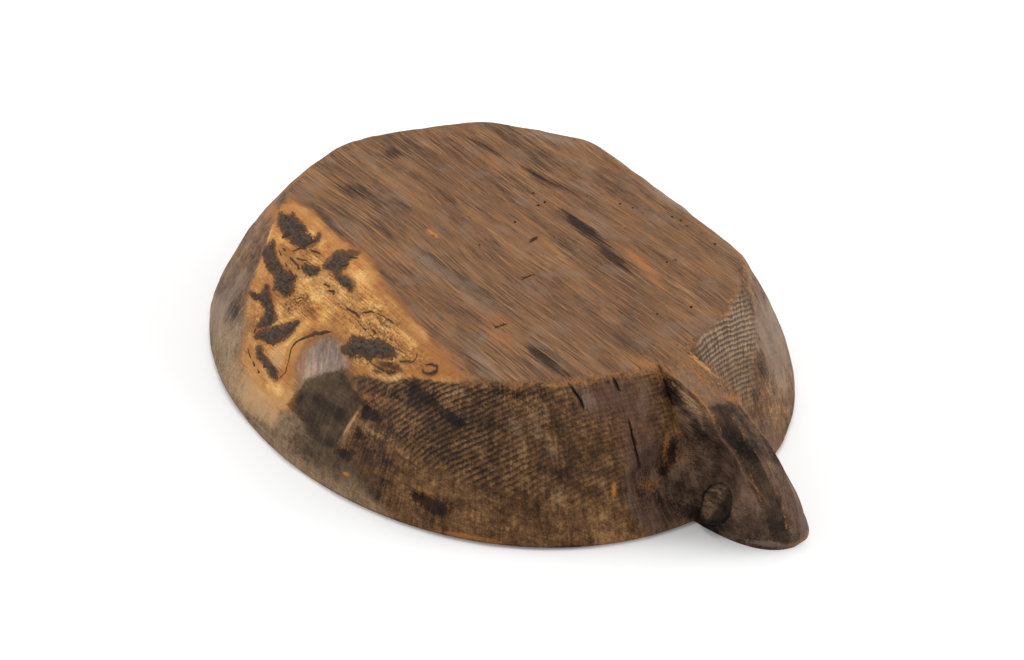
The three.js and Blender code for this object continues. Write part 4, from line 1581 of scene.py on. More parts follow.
@dataclass
class Bark:
    """Flakes and shreds of bark left on the log's round, which the base face cuts off."""

    log: HalfLog
    base_height: float
    view: PhotoView
    thickness: float = 1.1
    sink: float = 0.5
    stations: int = 84
    across: int = 13
    smooth_rounds: int = 2
    # How steeply the half width grows from the ends, and the angle at which its sine starts there
    blunt: Spot = (3.0, 0.02)
    edge_mean: float = 1.02
    # Each wave of the ragged edge: its share of the half width, its length, and its shift between sides
    edge_waves: tuple[Place, ...] = ((0.58, 4.2, 3.7), (0.38, 1.4, 5.1))
    # Each layer of pits: its share of the thickness, and its grains' span
    pits: tuple[Spot, ...] = ((0.2, 4.2), (0.12, 1.5))
    # The dome's least share of the thickness, and the half width that adds a whole share
    dome: Spot = (0.45, 5.0)
    dome_power: int = 3
    top_shares: Spot = (0.85, 0.4)
    top_sink: float = 0.2
    # Half widths in pixels between which a strip counts as thin, and the noise at which a thin one breaks
    thin: Spot = (2.2, 1.2)
    breaks: Spot = (-0.1, 0.35)
    break_span: float = 3.4
    base_round: float = 1.5
    crease: float = 40.0
    strip_seeds: int = 10
    # The first flake's seed, the step to the next one's, and the shreds' own
    flake_seeds: tuple[int, int] = (100, 40)
    shred_seed: int = 700
    shred_share: float = 0.62

    def ragged(self, length: Array, side: int, seed: int) -> Array:
        """How an edge wanders along a strip: a mean and waves of noise, on each side by itself.

        Args:
            length: millimetres along the strip.
            side: 0 or 1.
            seed: picks the pattern.

        Returns:
            Shares of the half width.
        """
        total = self.edge_mean
        for number, (share, span, shift) in enumerate(self.edge_waves):
            lane = stack(length / span, 0 * length + shift * side)
            total = total + share * noise(lane, seed + number)
        return total

    def strip(self, shred: Shred, seed: int) -> Surface:
        """One strip: a low ragged dome carried along a line on the log's round.

        The half width wanders along the line by noise, on each side by itself. The top stands off the
        round by a share of the thickness that falls to nothing over the outer part of the width, and
        the underside is sunk into the wood.

        Args:
            shred: its line.
            seed: picks its raggedness.

        Returns:
            The closed strip.
        """
        line = np.array(shred.line, dtype=float)
        knots = np.arange(len(line))
        place = np.linspace(0, len(line) - 1, self.stations)
        spots = np.stack([np.interp(place, knots, line[:, k]) for k in range(3)], axis=-1)
        for _ in range(self.smooth_rounds):
            spots[1:-1] = 0.5 * spots[1:-1] + 0.25 * (spots[:-2] + spots[2:])
        along, swing = self.log.seen_at(self.view, spots[:, :2])
        flat = stack(along, swing * self.log.radius)
        path = np.gradient(flat, axis=0)
        side = stack(-path[:, 1], path[:, 0])
        side = side / np.linalg.norm(side, axis=1)[:, None]
        length = np.concatenate([[0], np.cumsum(np.linalg.norm(np.diff(flat, axis=0), axis=1))])
        pixel = self.view.distance / self.view.focal
        steep, tip = self.blunt
        ends = np.sqrt(np.clip(np.sin(np.linspace(tip, math.pi - tip, self.stations)) * steep, 0, 1))
        half = spots[:, 2] * pixel * ends
        edge = [half * self.ragged(length, k, seed) for k in (0, 1)]
        cross = np.linspace(-1, 1, self.across)
        reach = np.where(cross < 0, edge[0][:, None] * cross, edge[1][:, None] * cross)
        spread = flat[:, None, :] + reach[..., None] * side[:, None, :]
        least, full = self.dome
        dome = (1 - np.abs(cross) ** self.dome_power) * np.minimum(1, least + half[:, None] / full)
        pitted = sum(share * noise(spread / span, seed + 2 + k) for k, (share, span) in enumerate(self.pits))
        thin = smoothstep(*self.thin, spots[:, 2].max())
        lane = stack(length / self.break_span, 0 * length)
        gone = thin * smoothstep(*self.breaks, noise(lane, seed + 4))
        body, pocked = self.top_shares
        top = self.thickness * (dome * (body + pitted) + pocked * pitted) - self.top_sink - gone[:, None]
        low = np.full_like(top, -self.sink)
        loop = np.concatenate([spread, spread[:, ::-1]], axis=1)
        lift = np.concatenate([top, low], axis=1)
        skin = self.log.onto(loop[..., 0], loop[..., 1] / self.log.radius, lift)
        skin[..., 2] = soft_min(skin[..., 2], self.base_height + lift, self.base_round)
        return tube(skin)

    def flake(self, name: str, shreds: Sequence[Shred], seed: int) -> bpy.types.Object:
        """A flake made of strips that overlap.

        Args:
            name: of the object.
            shreds: its strips.
            seed: picks its raggedness.

        Returns:
            The new object.
        """
        skin = together([self.strip(shred, seed + self.strip_seeds * k) for k, shred in enumerate(shreds)])
        piece = skin.to_object(name)
        lift = np.maximum(self.log.depth_of(skin.points), skin.points[:, 2] - self.base_height)
        write_attribute(piece.data, DryBark.lift, lift)
        shade_by_angle(piece.data, self.crease)
        return piece


# The enlargement of the wane that the strips are read off: its upper left pixel and its scale
CROP_CORNER = (200, 180)
CROP_SCALE = 5.6


def crop(*line: Place) -> Shred:
    """A shred from pixels of the wane's enlargement, as pixels of the picture."""
    left, upper = CROP_CORNER
    spots = ((left + x / CROP_SCALE, upper + y / CROP_SCALE, half / CROP_SCALE) for x, y, half in line)
    return Shred(tuple(spots))


def thinner(shred: Shred, share: float) -> Shred:
    """A shred on the same line with its width cut to a share."""
    return Shred(tuple((x, y, share * half) for x, y, half in shred.line))


FLAKES: dict[str, tuple[Shred, ...]] = {
    "bark_patch_1": (
        crop((450, 192, 12), (464, 214, 26), (484, 244, 46), (530, 300, 50), (575, 340, 46), (620, 352, 26),
             (655, 335, 14), (668, 305, 10)),
        crop((520, 190, 8), (505, 225, 26), (560, 262, 22), (590, 285, 10)),
    ),
    "bark_patch_2": (
        crop((405, 352, 12), (390, 396, 34), (402, 455, 38), (440, 520, 34), (475, 575, 55), (488, 612, 38),
             (478, 640, 12)),
        crop((420, 610, 10), (440, 575, 26), (500, 560, 26), (530, 545, 10)),
    ),
    "bark_patch_3": (
        crop((885, 410, 6), (840, 415, 24), (790, 435, 44), (740, 470, 38), (705, 485, 14)),
        crop((800, 430, 20), (785, 470, 34), (770, 510, 24), (768, 538, 8)),
    ),
    "bark_patch_4": (crop((582, 485, 12), (612, 505, 28), (640, 510, 24), (660, 500, 8)),),
    "bark_patch_5": (crop((765, 545, 10), (810, 562, 26), (840, 585, 24), (842, 615, 8)),),
    "bark_patch_6": (
        crop((372, 595, 14), (365, 650, 30), (385, 715, 24), (398, 770, 30), (360, 800, 24), (330, 815, 8)),
        crop((285, 630, 10), (310, 655, 16), (355, 660, 14)),
    ),
    "bark_patch_7": (
        crop((332, 870, 18), (385, 870, 34), (440, 865, 46), (500, 830, 34), (555, 790, 8)),
    ),
    "bark_patch_8": (
        crop((330, 945, 14), (342, 990, 24), (380, 1035, 18), (412, 1085, 24), (425, 1115, 8)),
    ),
    "bark_patch_9": (
        crop((815, 950, 26), (870, 945, 52), (925, 955, 34), (985, 950, 46), (1045, 962, 40),
             (1085, 985, 12)),
        crop((850, 885, 10), (905, 900, 20), (960, 915, 18), (1030, 915, 14)),
    ),
}
SHREDS: tuple[Shred, ...] = (
    crop((745, 852, 8), (690, 850, 17), (640, 860, 18), (585, 882, 11), (540, 905, 7), (508, 945, 6),
         (496, 1010, 7), (480, 1075, 6), (445, 1112, 4)),
    crop((945, 1015, 6), (1000, 1050, 9), (1055, 1075, 16), (1090, 1070, 6)),
    crop((1040, 1020, 6), (1110, 1030, 8), (1180, 1022, 7), (1220, 1000, 5)),
    crop((1240, 1052, 8), (1250, 1074, 10), (1288, 1082, 10), (1322, 1068, 16), (1326, 1040, 15),
         (1298, 1028, 11), (1262, 1034, 8)),
    crop((1052, 775, 10), (1070, 790, 17), (1085, 805, 8)),
    crop((905, 745, 5), (955, 735, 9), (1000, 752, 6), (1030, 765, 4)),
    crop((890, 800, 6), (915, 830, 7), (955, 850, 10), (985, 870, 4)),
    crop((1000, 850, 4), (1050, 880, 6), (1085, 905, 4)),
    crop((720, 620, 14), (750, 625, 20), (745, 645, 8)),
    crop((800, 690, 4), (840, 730, 6), (875, 760, 5), (905, 800, 4)),
    crop((845, 630, 6), (885, 655, 8)),
    crop((515, 395, 8), (560, 420, 12), (610, 430, 6)),
    crop((300, 860, 8), (310, 890, 10), (325, 915, 5)),
    crop((262, 930, 4), (285, 1000, 6), (320, 1060, 7), (350, 1110, 5)),
    crop((440, 390, 6), (480, 470, 9), (510, 520, 10), (540, 560, 5)),
    crop((650, 490, 5), (700, 520, 6), (750, 545, 5)),
    crop((470, 690, 4), (500, 720, 6), (480, 760, 5)),
    crop((530, 680, 4), (560, 660, 7), (600, 650, 4)),
    crop((1195, 960, 4), (1215, 955, 6), (1215, 990, 6), (1198, 1010, 4)),
    crop((520, 398, 8), (565, 382, 11), (620, 392, 12), (680, 415, 8)),
    crop((540, 436, 6), (575, 446, 12), (612, 452, 6)),
    crop((455, 372, 6), (490, 410, 9), (520, 450, 12), (560, 500, 15), (575, 530, 8)),
    crop((640, 570, 6), (690, 578, 11), (730, 600, 8)),
    crop((770, 690, 6), (820, 715, 12), (860, 735, 10), (895, 772, 6)),
    crop((945, 800, 8), (965, 835, 13), (985, 862, 8)),
    crop((330, 905, 8), (305, 850, 11), (315, 830, 8)),
    crop((280, 985, 6), (310, 1050, 12), (345, 1095, 12), (365, 1125, 8)),
    crop((1020, 1000, 9), (1075, 1005, 14), (1130, 1015, 12), (1185, 1012, 8)),
)


class Graph:
    """A material's node tree, built by short calls, most of which return one socket."""

    def __init__(self, name: str) -> None:
        """Starts an empty tree with one surface shader.

        Args:
            name: of the material.
        """
        self.material = bpy.data.materials.new(name)
        self.material.use_nodes = True
        self.tree = self.material.node_tree
        self.tree.nodes.clear()
        self.shader = self.tree.nodes.new("ShaderNodeBsdfPrincipled")
        output = self.tree.nodes.new("ShaderNodeOutputMaterial")
        self.tree.links.new(self.shader.outputs[0], output.inputs["Surface"])

    def feed(self, socket: bpy.types.NodeSocket, value: Feed) -> None:
        """Links a socket to another, or sets its own number or colour.

        Args:
            socket: an input.
            value: another node's output, or a number or colour.
        """
        if isinstance(value, bpy.types.NodeSocket):
            self.tree.links.new(value, socket)
        else:
            socket.default_value = value

    def add(
        self, kind: str, feeds: dict[Union[int, str], Feed], out: Union[int, str] = 0, **settings: str
    ) -> Feed:
        """Adds one node.

        Args:
            kind: the node's type.
            feeds: what goes into its sockets, by number or name.
            out: which output is wanted.
            **settings: the node's own choices.

        Returns:
            That output.
        """
        node = self.tree.nodes.new(kind)
        for name, value in settings.items():
            setattr(node, name, value)
        for key, value in feeds.items():
            self.feed(node.inputs[key], value)
        return node.outputs[out]

    def place(self, turn: float) -> Feed:
        """Object coordinates in millimetres of the bowl's frame, turned so that X runs with the grain.

        Args:
            turn: the grain's direction in radians.

        Returns:
            The coordinates.
        """
        feeds = {
            "Vector": self.add("ShaderNodeTexCoord", {}, "Object"),
            "Location": tuple(PART_SHIFT * MM),
            "Rotation": (0.0, 0.0, turn),
            "Scale": (MM, MM, MM),
        }
        node = self.tree.nodes.new("ShaderNodeMapping")
        node.vector_type = "TEXTURE"
        for name, value in feeds.items():
            self.feed(node.inputs[name], value)
        return node.outputs[0]

    def math(self, operation: str, first: Feed, second: Feed = 0.0) -> Feed:
        """One step of arithmetic on two numbers."""
        return self.add("ShaderNodeMath", {0: first, 1: second}, operation=operation)

    def product(self, first: Feed, second: Feed) -> Feed:
        """Two numbers multiplied."""
        return self.math("MULTIPLY", first, second)

    def times(self, vector: Feed, by: Place) -> Feed:
        """A vector scaled along each axis."""
        return self.add("ShaderNodeVectorMath", {0: vector, 1: by}, operation="MULTIPLY")

    def noise(self, vector: Feed, detail: float = 3.0, rough: float = 0.6) -> Feed:
        """Noise of one unit's grain on a vector."""
        feeds = {"Vector": vector, "Scale": 1.0, "Detail": detail, "Roughness": rough}
        return self.add("ShaderNodeTexNoise", feeds)

    def grain(self, place: Feed, fine: Place, part: float, detail: float = 3.0, rough: float = 0.6) -> Feed:
        """Noise drawn out along the axes.

        Args:
            place: millimetres.
            fine: grains to a millimetre along each axis.
            part: shifts it to its own part of the pattern.
            detail: how many finer layers it has.
            rough: how strong those are.

        Returns:
            The noise, about 0.5.
        """
        feeds = {0: place, 1: fine, 2: (part, part, part)}
        spread = self.add("ShaderNodeVectorMath", feeds, operation="MULTIPLY_ADD")
        return self.noise(spread, detail, rough)

    def blend(self, parts: Sequence[tuple[Feed, float]], lift: float = 0.0) -> Feed:
        """The sum of several numbers, each times its weight, and a fixed lift.

        Args:
            parts: each number and its weight.
            lift: what is added.

        Returns:
            The sum.
        """
        total: Feed = lift
        for value, weight in parts:
            total = self.add("ShaderNodeMath", {0: value, 1: weight, 2: total}, operation="MULTIPLY_ADD")
        return total

    def ease(self, value: Feed, low: float, high: float, to: Spot = (0.0, 1.0)) -> Feed:
        """A smooth rise between two values."""
        feeds = {0: value, 1: low, 2: high, 3: to[0], 4: to[1]}
        return self.add("ShaderNodeMapRange", feeds, interpolation_type="SMOOTHSTEP")

    def mix(self, share: Feed, first: Feed, second: Feed, blend: str = "MIX") -> Feed:
        """One colour mixed into another."""
        feeds = {0: share, 6: first, 7: second}
        return self.add("ShaderNodeMix", feeds, 2, data_type="RGBA", blend_type=blend)

    def either(self, share: Feed, first: Feed, second: Feed) -> Feed:
        """One number mixed into another."""
        return self.add("ShaderNodeMix", {0: share, 2: first, 3: second}, data_type="FLOAT")

    def attribute(self, name: str) -> Feed:
        """A number kept on the mesh."""
        return self.add("ShaderNodeAttribute", {}, "Fac", attribute_name=name)

    def ramp(self, value: Feed, stops: Sequence[Stop]) -> Feed:
        """Colours laid along a value from 0 to 1.

        Args:
            value: the number.
            stops: places in rising order, each with its screen colour.

        Returns:
            The colour.
        """
        node = self.tree.nodes.new("ShaderNodeValToRGB")
        self.tree.links.new(value, node.inputs[0])
        elements = node.color_ramp.elements
        for place, _ in stops[2:]:
            elements.new(place)
        for element, (place, colour) in zip(elements, stops):
            element.position = place
            element.color = tone(colour)
        return node.outputs[0]

    def bump(self, height: Feed, strength: float, depth: float) -> None:
        """Bumps the surface by a height whose full depth is in metres."""
        feeds = {"Height": height, "Strength": strength, "Distance": depth}
        self.feed(self.shader.inputs["Normal"], self.add("ShaderNodeBump", feeds))

    def finish(self, colour: Feed, roughness: Feed, gloss: float) -> bpy.types.Material:
        """Feeds the surface shader.

        Args:
            colour: its base colour.
            roughness: from 0 to 1.
            gloss: the level of its reflections.

        Returns:
            The material.
        """
        feeds = {"Base Color": colour, "Roughness": roughness, "Specular IOR Level": gloss}
        for name, value in feeds.items():
            self.feed(self.shader.inputs[name], value)
        return self.material


def tone(colour: Rgb) -> tuple[float, float, float, float]:
    """A screen colour as the linear colour that a shader takes, by the usual screen curve.

    Args:
        colour: red, green and blue from 0 to 255.

    Returns:
        Red, green, blue and a full alpha.
    """
    share = np.array(colour) / 255
    linear = np.where(share <= 0.04045, share / 12.92, ((share + 0.055) / 1.055) ** 2.4)
    return (*(float(value) for value in linear), 1.0)


@dataclass(frozen=True)
class Grain:
    """The patterns that every part of the wood shares, each a number over its surface."""

    broad: Feed
    streak: Feed
    fibre: Feed
    other_streak: Feed
    other_fibre: Feed
    blotch: Feed
    other_blotch: Feed
    speck: Feed
    mottle: Feed
    stroke: Feed
    plumb: Feed
    fall: Feed
    ring: Feed
    band: Feed
    ray: Feed


@dataclass(frozen=True)
class WeatheredWood:
    """Old softwood: long grain on the base, ringed end grain on the walls, gold where bark fell off."""

    pith: Spot = (0.0, -35.0)
    ring_pitch: float = 3.1
    band_pitch: float = 2.2
    ring_flat: float = 30.0
    drift: float = 12.0
    waver: float = 2.2
    # Where along the log the wall's years start to climb and where they have climbed, and by how much
    climb_along: Spot = (135.0, 5.0)
    climb: float = 66.0
    rise_closes: float = 0.42
    late_start: Spot = (0.15, 0.7)
    late_end: Spot = (1.0, 0.85)
    ray_fine: Place = (110.0, 0.1, 0.05)
    grain_turn: float = math.radians(-5.0)
    plumb_turn: float = math.radians(-45.0)
    sway: float = 14.0
    fall_fine: Place = (90.0, 90.0, 90.0)
    fall_long: float = 0.05
    roughness: Spot = (0.5, 0.75)
    gloss: float = 0.18
    bump: Spot = (0.8, 0.0009)
    base_tones: tuple[Stop, ...] = (
        (0.28, (62, 43, 31)), (0.42, (94, 67, 47)), (0.52, (118, 85, 58)), (0.6, (136, 98, 66)),
        (0.74, (168, 120, 75)),
    )
    wall_tones: tuple[Stop, ...] = (
        (0.34, (42, 26, 13)), (0.45, (90, 60, 34)), (0.55, (122, 86, 52)), (0.68, (168, 127, 84)),
    )
    side_tones: tuple[Stop, ...] = ((0.36, (84, 65, 46)), (0.5, (127, 102, 76)), (0.66, (162, 135, 104)))
    handle_tones: tuple[Stop, ...] = (
        (0.36, (34, 23, 16)), (0.48, (78, 58, 44)), (0.57, (106, 82, 65)), (0.7, (140, 110, 86)),
    )
    hollow_tones: tuple[Stop, ...] = (
        (0.36, (60, 44, 31)), (0.47, (100, 75, 53)), (0.56, (130, 100, 72)), (0.68, (164, 130, 96)),
    )
    gold_tones: tuple[Stop, ...] = (
        (0.36, (138, 88, 46)), (0.46, (196, 134, 70)), (0.56, (226, 172, 100)), (0.68, (238, 198, 136)),
    )
    hatch_tones: tuple[Stop, ...] = ((0.36, (76, 60, 46)), (0.6, (106, 84, 65)), (0.86, (150, 124, 97)))
    facet_tones: tuple[Stop, ...] = ((0.34, (116, 99, 90)), (0.5, (146, 124, 109)), (0.66, (178, 149, 127)))
    rubbed: Rgb = (120, 86, 59)
    # Multiplied over dark stains and over painted shade in pits, gouges and checks
    pit_shade_and_stain: Rgb = (116, 103, 96)
    dark: Rgb = (34, 25, 20)
    line: Rgb = (64, 46, 35)
    warm: Rgb = (166, 106, 54)
    grey: Rgb = (134, 115, 100)
    # Also used for the painted highlight on the front wall's ridge crests
    pale: Rgb = (200, 158, 112)
    edge: Rgb = (172, 116, 66)
    rust: Rgb = (150, 94, 50)
    scar: Rgb = (70, 48, 33)
    plum: Rgb = (98, 70, 58)
    shade: Rgb = (146, 140, 131)
    nick: Rgb = (192, 124, 46)
    straw: Rgb = (236, 198, 120)
    # How strongly each of these covers the wood at most
    rubbed_most: float = 0.55
    warm_most: float = 0.75
    line_most: float = 0.75
    dash_most: float = 0.6
    film_most: float = 0.25
    ridge_most: float = 0.7
    gold_line_most: float = 0.8
    frass_most: float = 0.85
    edge_most: float = 0.65

    def patterns(self, graph: Graph) -> Grain:
        """Works out the shared patterns: noise drawn out along the grain, and rings round the pith.

        Args:
            graph: the material.

        Returns:
            The patterns.
        """
        place = graph.place(self.grain_turn)
        sway = graph.grain(place, (0.006, 0.012, 0.012), 3.1, 2.0)
        lean = graph.add("ShaderNodeCombineXYZ", {1: graph.product(sway, self.sway)})
        wavy = graph.add("ShaderNodeVectorMath", {0: place, 1: lean}, operation="ADD")
        ring, band, ray = self.rings(graph, place)
        return Grain(
            broad=graph.grain(wavy, (0.013, 0.12, 0.12), 0.0, 4.0),
            streak=graph.grain(wavy, (0.034, 1.4, 1.4), 5.3, 3.0),
            fibre=graph.grain(wavy, (0.06, 2.6, 2.6), 9.7, 2.0),
            other_streak=graph.grain(wavy, (0.026, 1.05, 1.05), 17.9, 3.0),
            other_fibre=graph.grain(wavy, (0.045, 1.8, 1.8), 23.3, 2.0),
            blotch=graph.grain(place, (0.026, 0.034, 0.034), 31.1, 5.0),
            other_blotch=graph.grain(place, (0.045, 0.06, 0.06), 41.3, 5.0),
            speck=graph.grain(place, (0.8, 0.8, 0.8), 51.7, 4.0, 0.7),
            mottle=graph.grain(place, (0.2, 0.22, 0.22), 71.3, 5.0, 0.7),
            stroke=graph.grain(wavy, (0.07, 0.75, 0.75), 83.9, 2.0),
            plumb=graph.grain(graph.place(self.plumb_turn), (0.04, 0.55, 0.2), 91.7, 2.0),
            fall=self.fall(graph, place),
            ring=ring,
            band=band,
            ray=ray,
        )

    def fall(self, graph: Graph, place: Feed) -> Feed:
        """Streaks that run straight down every wall: noise on the direction out from the bowl's middle.

        Args:
            graph: the material.
            place: millimetres along and across the grain.

        Returns:
            The noise.
        """
        level = graph.times(place, (1.0, 1.0, 0.0))
        outward = graph.add("ShaderNodeVectorMath", {0: level}, operation="NORMALIZE")
        feeds = {0: outward, 1: self.fall_fine, 2: graph.times(place, (0.0, 0.0, self.fall_long))}
        return graph.noise(graph.add("ShaderNodeVectorMath", feeds, operation="MULTIPLY_ADD"), 4.0, 0.65)

    def rings(self, graph: Graph, place: Feed) -> tuple[Feed, Feed, Feed]:
        """Growth rings and rays in the wood's own polar frame about its pith.

        The rings lie flat over the pith and bend down on both sides of it. The distance from it, drawn a
        little off true by noise, is cut into years; each rises to its dark late wood and ends sharply.
        The walls' years are also counted up the wall and along it, which sets them closer. Those of the
        hatched wall are not. Rays are noise that is fine round the pith and long outwards.

        Args:
            graph: the material.
            place: millimetres along and across the grain.

        Returns:
            The late wood of the walls' years and of the hatched wall's, from 0 to 1, and the rays' noise.
        """
        split = graph.add("ShaderNodeSeparateXYZ", {0: place}).node
        across = graph.math("SUBTRACT", split.outputs[1], self.pith[0])
        y = graph.math("SUBTRACT", graph.math("ABSOLUTE", across), self.ring_flat)
        y = graph.math("MAXIMUM", y, 0.0)
        z = graph.math("SUBTRACT", split.outputs[2], self.pith[1])
        radius = graph.math("SQRT", graph.math("ADD", graph.product(y, y), graph.product(z, z)))
        drift = graph.grain(place, (0.004, 0.01, 0.01), 61.0, 1.0)
        waver = graph.grain(place, (0.08, 0.16, 0.16), 67.0, 3.0)
        bent = graph.blend(((radius, 1.0), (drift, self.drift), (waver, self.waver)))
        climb = graph.ease(split.outputs[0], *self.climb_along, (0.0, self.climb))
        close = graph.blend(((bent, 1.0), (split.outputs[2], self.rise_closes), (climb, 1.0)))
        late = []
        for pitch, years in ((self.ring_pitch, close), (self.band_pitch, bent)):
            phase = graph.math("FRACT", graph.math("DIVIDE", years, pitch))
            rising = graph.ease(phase, *self.late_start)
            late.append(graph.product(rising, graph.ease(phase, *self.late_end)))
        round_fine, out_fine, along_fine = self.ray_fine
        polar = graph.add("ShaderNodeCombineXYZ", {
            0: graph.product(graph.math("ARCTAN2", across, z), round_fine),
            1: graph.product(radius, out_fine),
            2: graph.product(split.outputs[0], along_fine),
        })
        return late[0], late[1], graph.noise(polar, 3.0, 0.6)

    def material(self) -> bpy.types.Material:
        """The wood's material: each zone's own grain, the stains, painted shade and painted highlight over
        them, roughness and bump.

        Returns:
            The material.
        """
        graph = Graph("weathered_wood")
        grain = self.patterns(graph)
        colour = self.wall(graph, grain)
        for zone, own in ((Zone.SIDE, self.side), (Zone.HANDLE, self.handle), (Zone.HOLLOW, self.hollow)):
            colour = graph.mix(graph.attribute(zone.value), colour, own(graph, grain))
        cover = self.torn(graph, StainAndPaintedLight.HATCH, grain.blotch, 0.8)
        colour = graph.mix(cover, colour, self.hatch(graph, grain))
        colour = graph.mix(graph.attribute(Zone.FLAT.value), colour, self.base(graph, grain))
        cloud = graph.blend(((grain.other_streak, 0.6), (grain.other_blotch, 0.8)), -0.2)
        colour = graph.mix(self.torn(graph, StainAndPaintedLight.GOLD, cloud, 1.5), colour, self.gold(graph, grain))
        ragged = graph.blend(((grain.other_streak, 0.7), (grain.mottle, 0.9)), -0.3)
        colour = graph.mix(self.torn(graph, StainAndPaintedLight.FACET, ragged, 1.6), colour, self.facet(graph, grain))
        colour = self.stains_and_painted_light(graph, colour, grain)
        graph.bump(self.relief(graph, grain), *self.bump)
        return graph.finish(colour, graph.ease(grain.speck, 0.3, 0.7, self.roughness), self.gloss)

    def relief(self, graph: Graph, grain: Grain) -> Feed:
        """The bump's height: raised fibres on long grain, sunk late wood and pores on end grain.

        Args:
            graph: the material.
            grain: its patterns.

        Returns:
            The height, about 1.
        """
        fibres = graph.blend(((grain.streak, 0.8), (grain.fibre, 0.5), (grain.other_streak, 0.4)))
        bare = graph.math("SUBTRACT", 1.0, graph.attribute(Zone.HANDLE.value))
        ringed = graph.product(grain.ring, bare)
        pores = graph.product(grain.speck, graph.ease(bare, 0.0, 1.0, (0.35, 0.9)))
        ends = graph.blend(((ringed, -0.12), (pores, 1.0), (grain.ray, 0.4), (grain.fall, 0.6)))
        long = graph.math("MAXIMUM", graph.attribute(Zone.FLAT.value), graph.attribute(Zone.HOLLOW.value))
        return graph.either(long, ends, fibres)

    def base(self, graph: Graph, grain: Grain) -> Feed:
        """Long grain: tones along the streaks, rubbed in patches, with warm and dark lines and a film.

        Args:
            graph: the material.
            grain: its patterns.

        Returns:
            The colour.
        """
        value = graph.blend(((grain.broad, 0.6), (grain.streak, 0.8), (grain.fibre, 0.8)), -0.6)
        colour = graph.ramp(value, self.base_tones)
        rubbed = graph.ease(grain.blotch, 0.42, 0.56)
        glow = graph.product(graph.ease(grain.other_streak, 0.55, 0.62), graph.ease(grain.blotch, 0.44, 0.6))
        line = graph.product(graph.ease(grain.other_fibre, 0.44, 0.38), graph.ease(grain.broad, 0.62, 0.45))
        dash = graph.product(graph.ease(grain.stroke, 0.4, 0.35), graph.ease(grain.fibre, 0.58, 0.46))
        film = graph.ease(grain.other_blotch, 0.5, 0.36)
        lined = graph.ease(grain.other_streak, 0.52, 0.44)
        ridge = graph.product(self.torn(graph, StainAndPaintedLight.RIDGED, grain.blotch, 0.6), lined)
        for share, most, shade in (
            (rubbed, self.rubbed_most, self.rubbed), (glow, self.warm_most, self.warm),
            (line, self.line_most, self.line), (dash, self.dash_most, self.line),
            (film, self.film_most, self.grey), (ridge, self.ridge_most, self.line),
        ):
            colour = graph.mix(graph.product(share, most), colour, tone(shade))
        return colour

    def wall(self, graph: Graph, grain: Grain) -> Feed:
        """End grain: dirty tones in blotches and pores, with dark late wood in rings and rays across.

        Args:
            graph: the material.
            grain: its patterns.

        Returns:
            The colour.
        """
        parts = ((grain.other_blotch, 0.5), (grain.mottle, 0.5), (grain.speck, 0.4), (grain.fall, 0.3))
        colour = graph.ramp(graph.blend(parts, -0.35), self.wall_tones)
        patchy = graph.ease(grain.blotch, 0.36, 0.56, (0.7, 1.0))
        shown = graph.product(graph.attribute(Zone.RINGED.value), patchy)
        broken = graph.blend(((grain.speck, 0.6), (grain.mottle, 0.9)), -0.25)
        late = graph.product(grain.ring, graph.ease(broken, 0.66, 0.44, (0.4, 1.0)))
        colour = graph.mix(graph.product(late, shown), colour, tone(self.dark))
        return graph.mix(graph.ease(grain.ray, 0.46, 0.34, (0.0, 0.45)), colour, tone(self.dark))

    def side(self, graph: Graph, grain: Grain) -> Feed:
        """Walls hewn along the log: weathered long grain in lighter tones."""
        parts = ((grain.streak, 0.35), (grain.blotch, 0.45), (grain.mottle, 0.35), (grain.plumb, 0.25))
        return graph.ramp(graph.blend(parts, -0.2), self.side_tones)

    def handle(self, graph: Graph, grain: Grain) -> Feed:
        """The handle and its scoop: dark, handled wood, mottled by dirt."""
        parts = ((grain.streak, 0.25), (grain.fall, 0.4), (grain.other_blotch, 0.55), (grain.mottle, 0.4))
        return graph.ramp(graph.blend(parts, -0.3), self.handle_tones)

    def hollow(self, graph: Graph, grain: Grain) -> Feed:
        """The carved inside: long grain, worn smooth and stained in clouds, with fine dark lines.

        Args:
            graph: the material.
            grain: its patterns.

        Returns:
            The colour.
        """
        parts = ((grain.broad, 0.4), (grain.streak, 0.5), (grain.other_blotch, 0.6), (grain.mottle, 0.2))
        colour = graph.ramp(graph.blend(parts, -0.35), self.hollow_tones)
        return graph.mix(graph.ease(grain.other_fibre, 0.42, 0.35, (0.0, 0.6)), colour, tone(self.line))

    def hatch(self, graph: Graph, grain: Grain) -> Feed:
        """Pale end grain with its rings and rays standing out as a hatching."""
        parts = ((grain.band, -0.4), (grain.ray, 1.5), (grain.speck, 0.5), (grain.mottle, 0.4))
        return graph.ramp(graph.blend(parts, -0.4), self.hatch_tones)

    def gold(self, graph: Graph, grain: Grain) -> Feed:
        """Wood under the bark: golden in clouds, with rusty lines along the grain.

        Args:
            graph: the material.
            grain: its patterns.

        Returns:
            The colour.
        """
        parts = ((grain.other_blotch, 0.7), (grain.streak, 0.4), (grain.mottle, 0.25))
        colour = graph.ramp(graph.blend(parts, -0.175), self.gold_tones)
        line = graph.product(graph.ease(grain.other_fibre, 0.44, 0.34), graph.ease(grain.broad, 0.6, 0.4))
        return graph.mix(graph.product(line, self.gold_line_most), colour, tone(self.rust))

    def facet(self, graph: Graph, grain: Grain) -> Feed:
        """A bare facet of the wane: greyish, with lines that run down it."""
        parts = ((grain.plumb, 0.6), (grain.mottle, 0.4), (grain.other_blotch, 0.6))
        return graph.ramp(graph.blend(parts, -0.3), self.facet_tones)

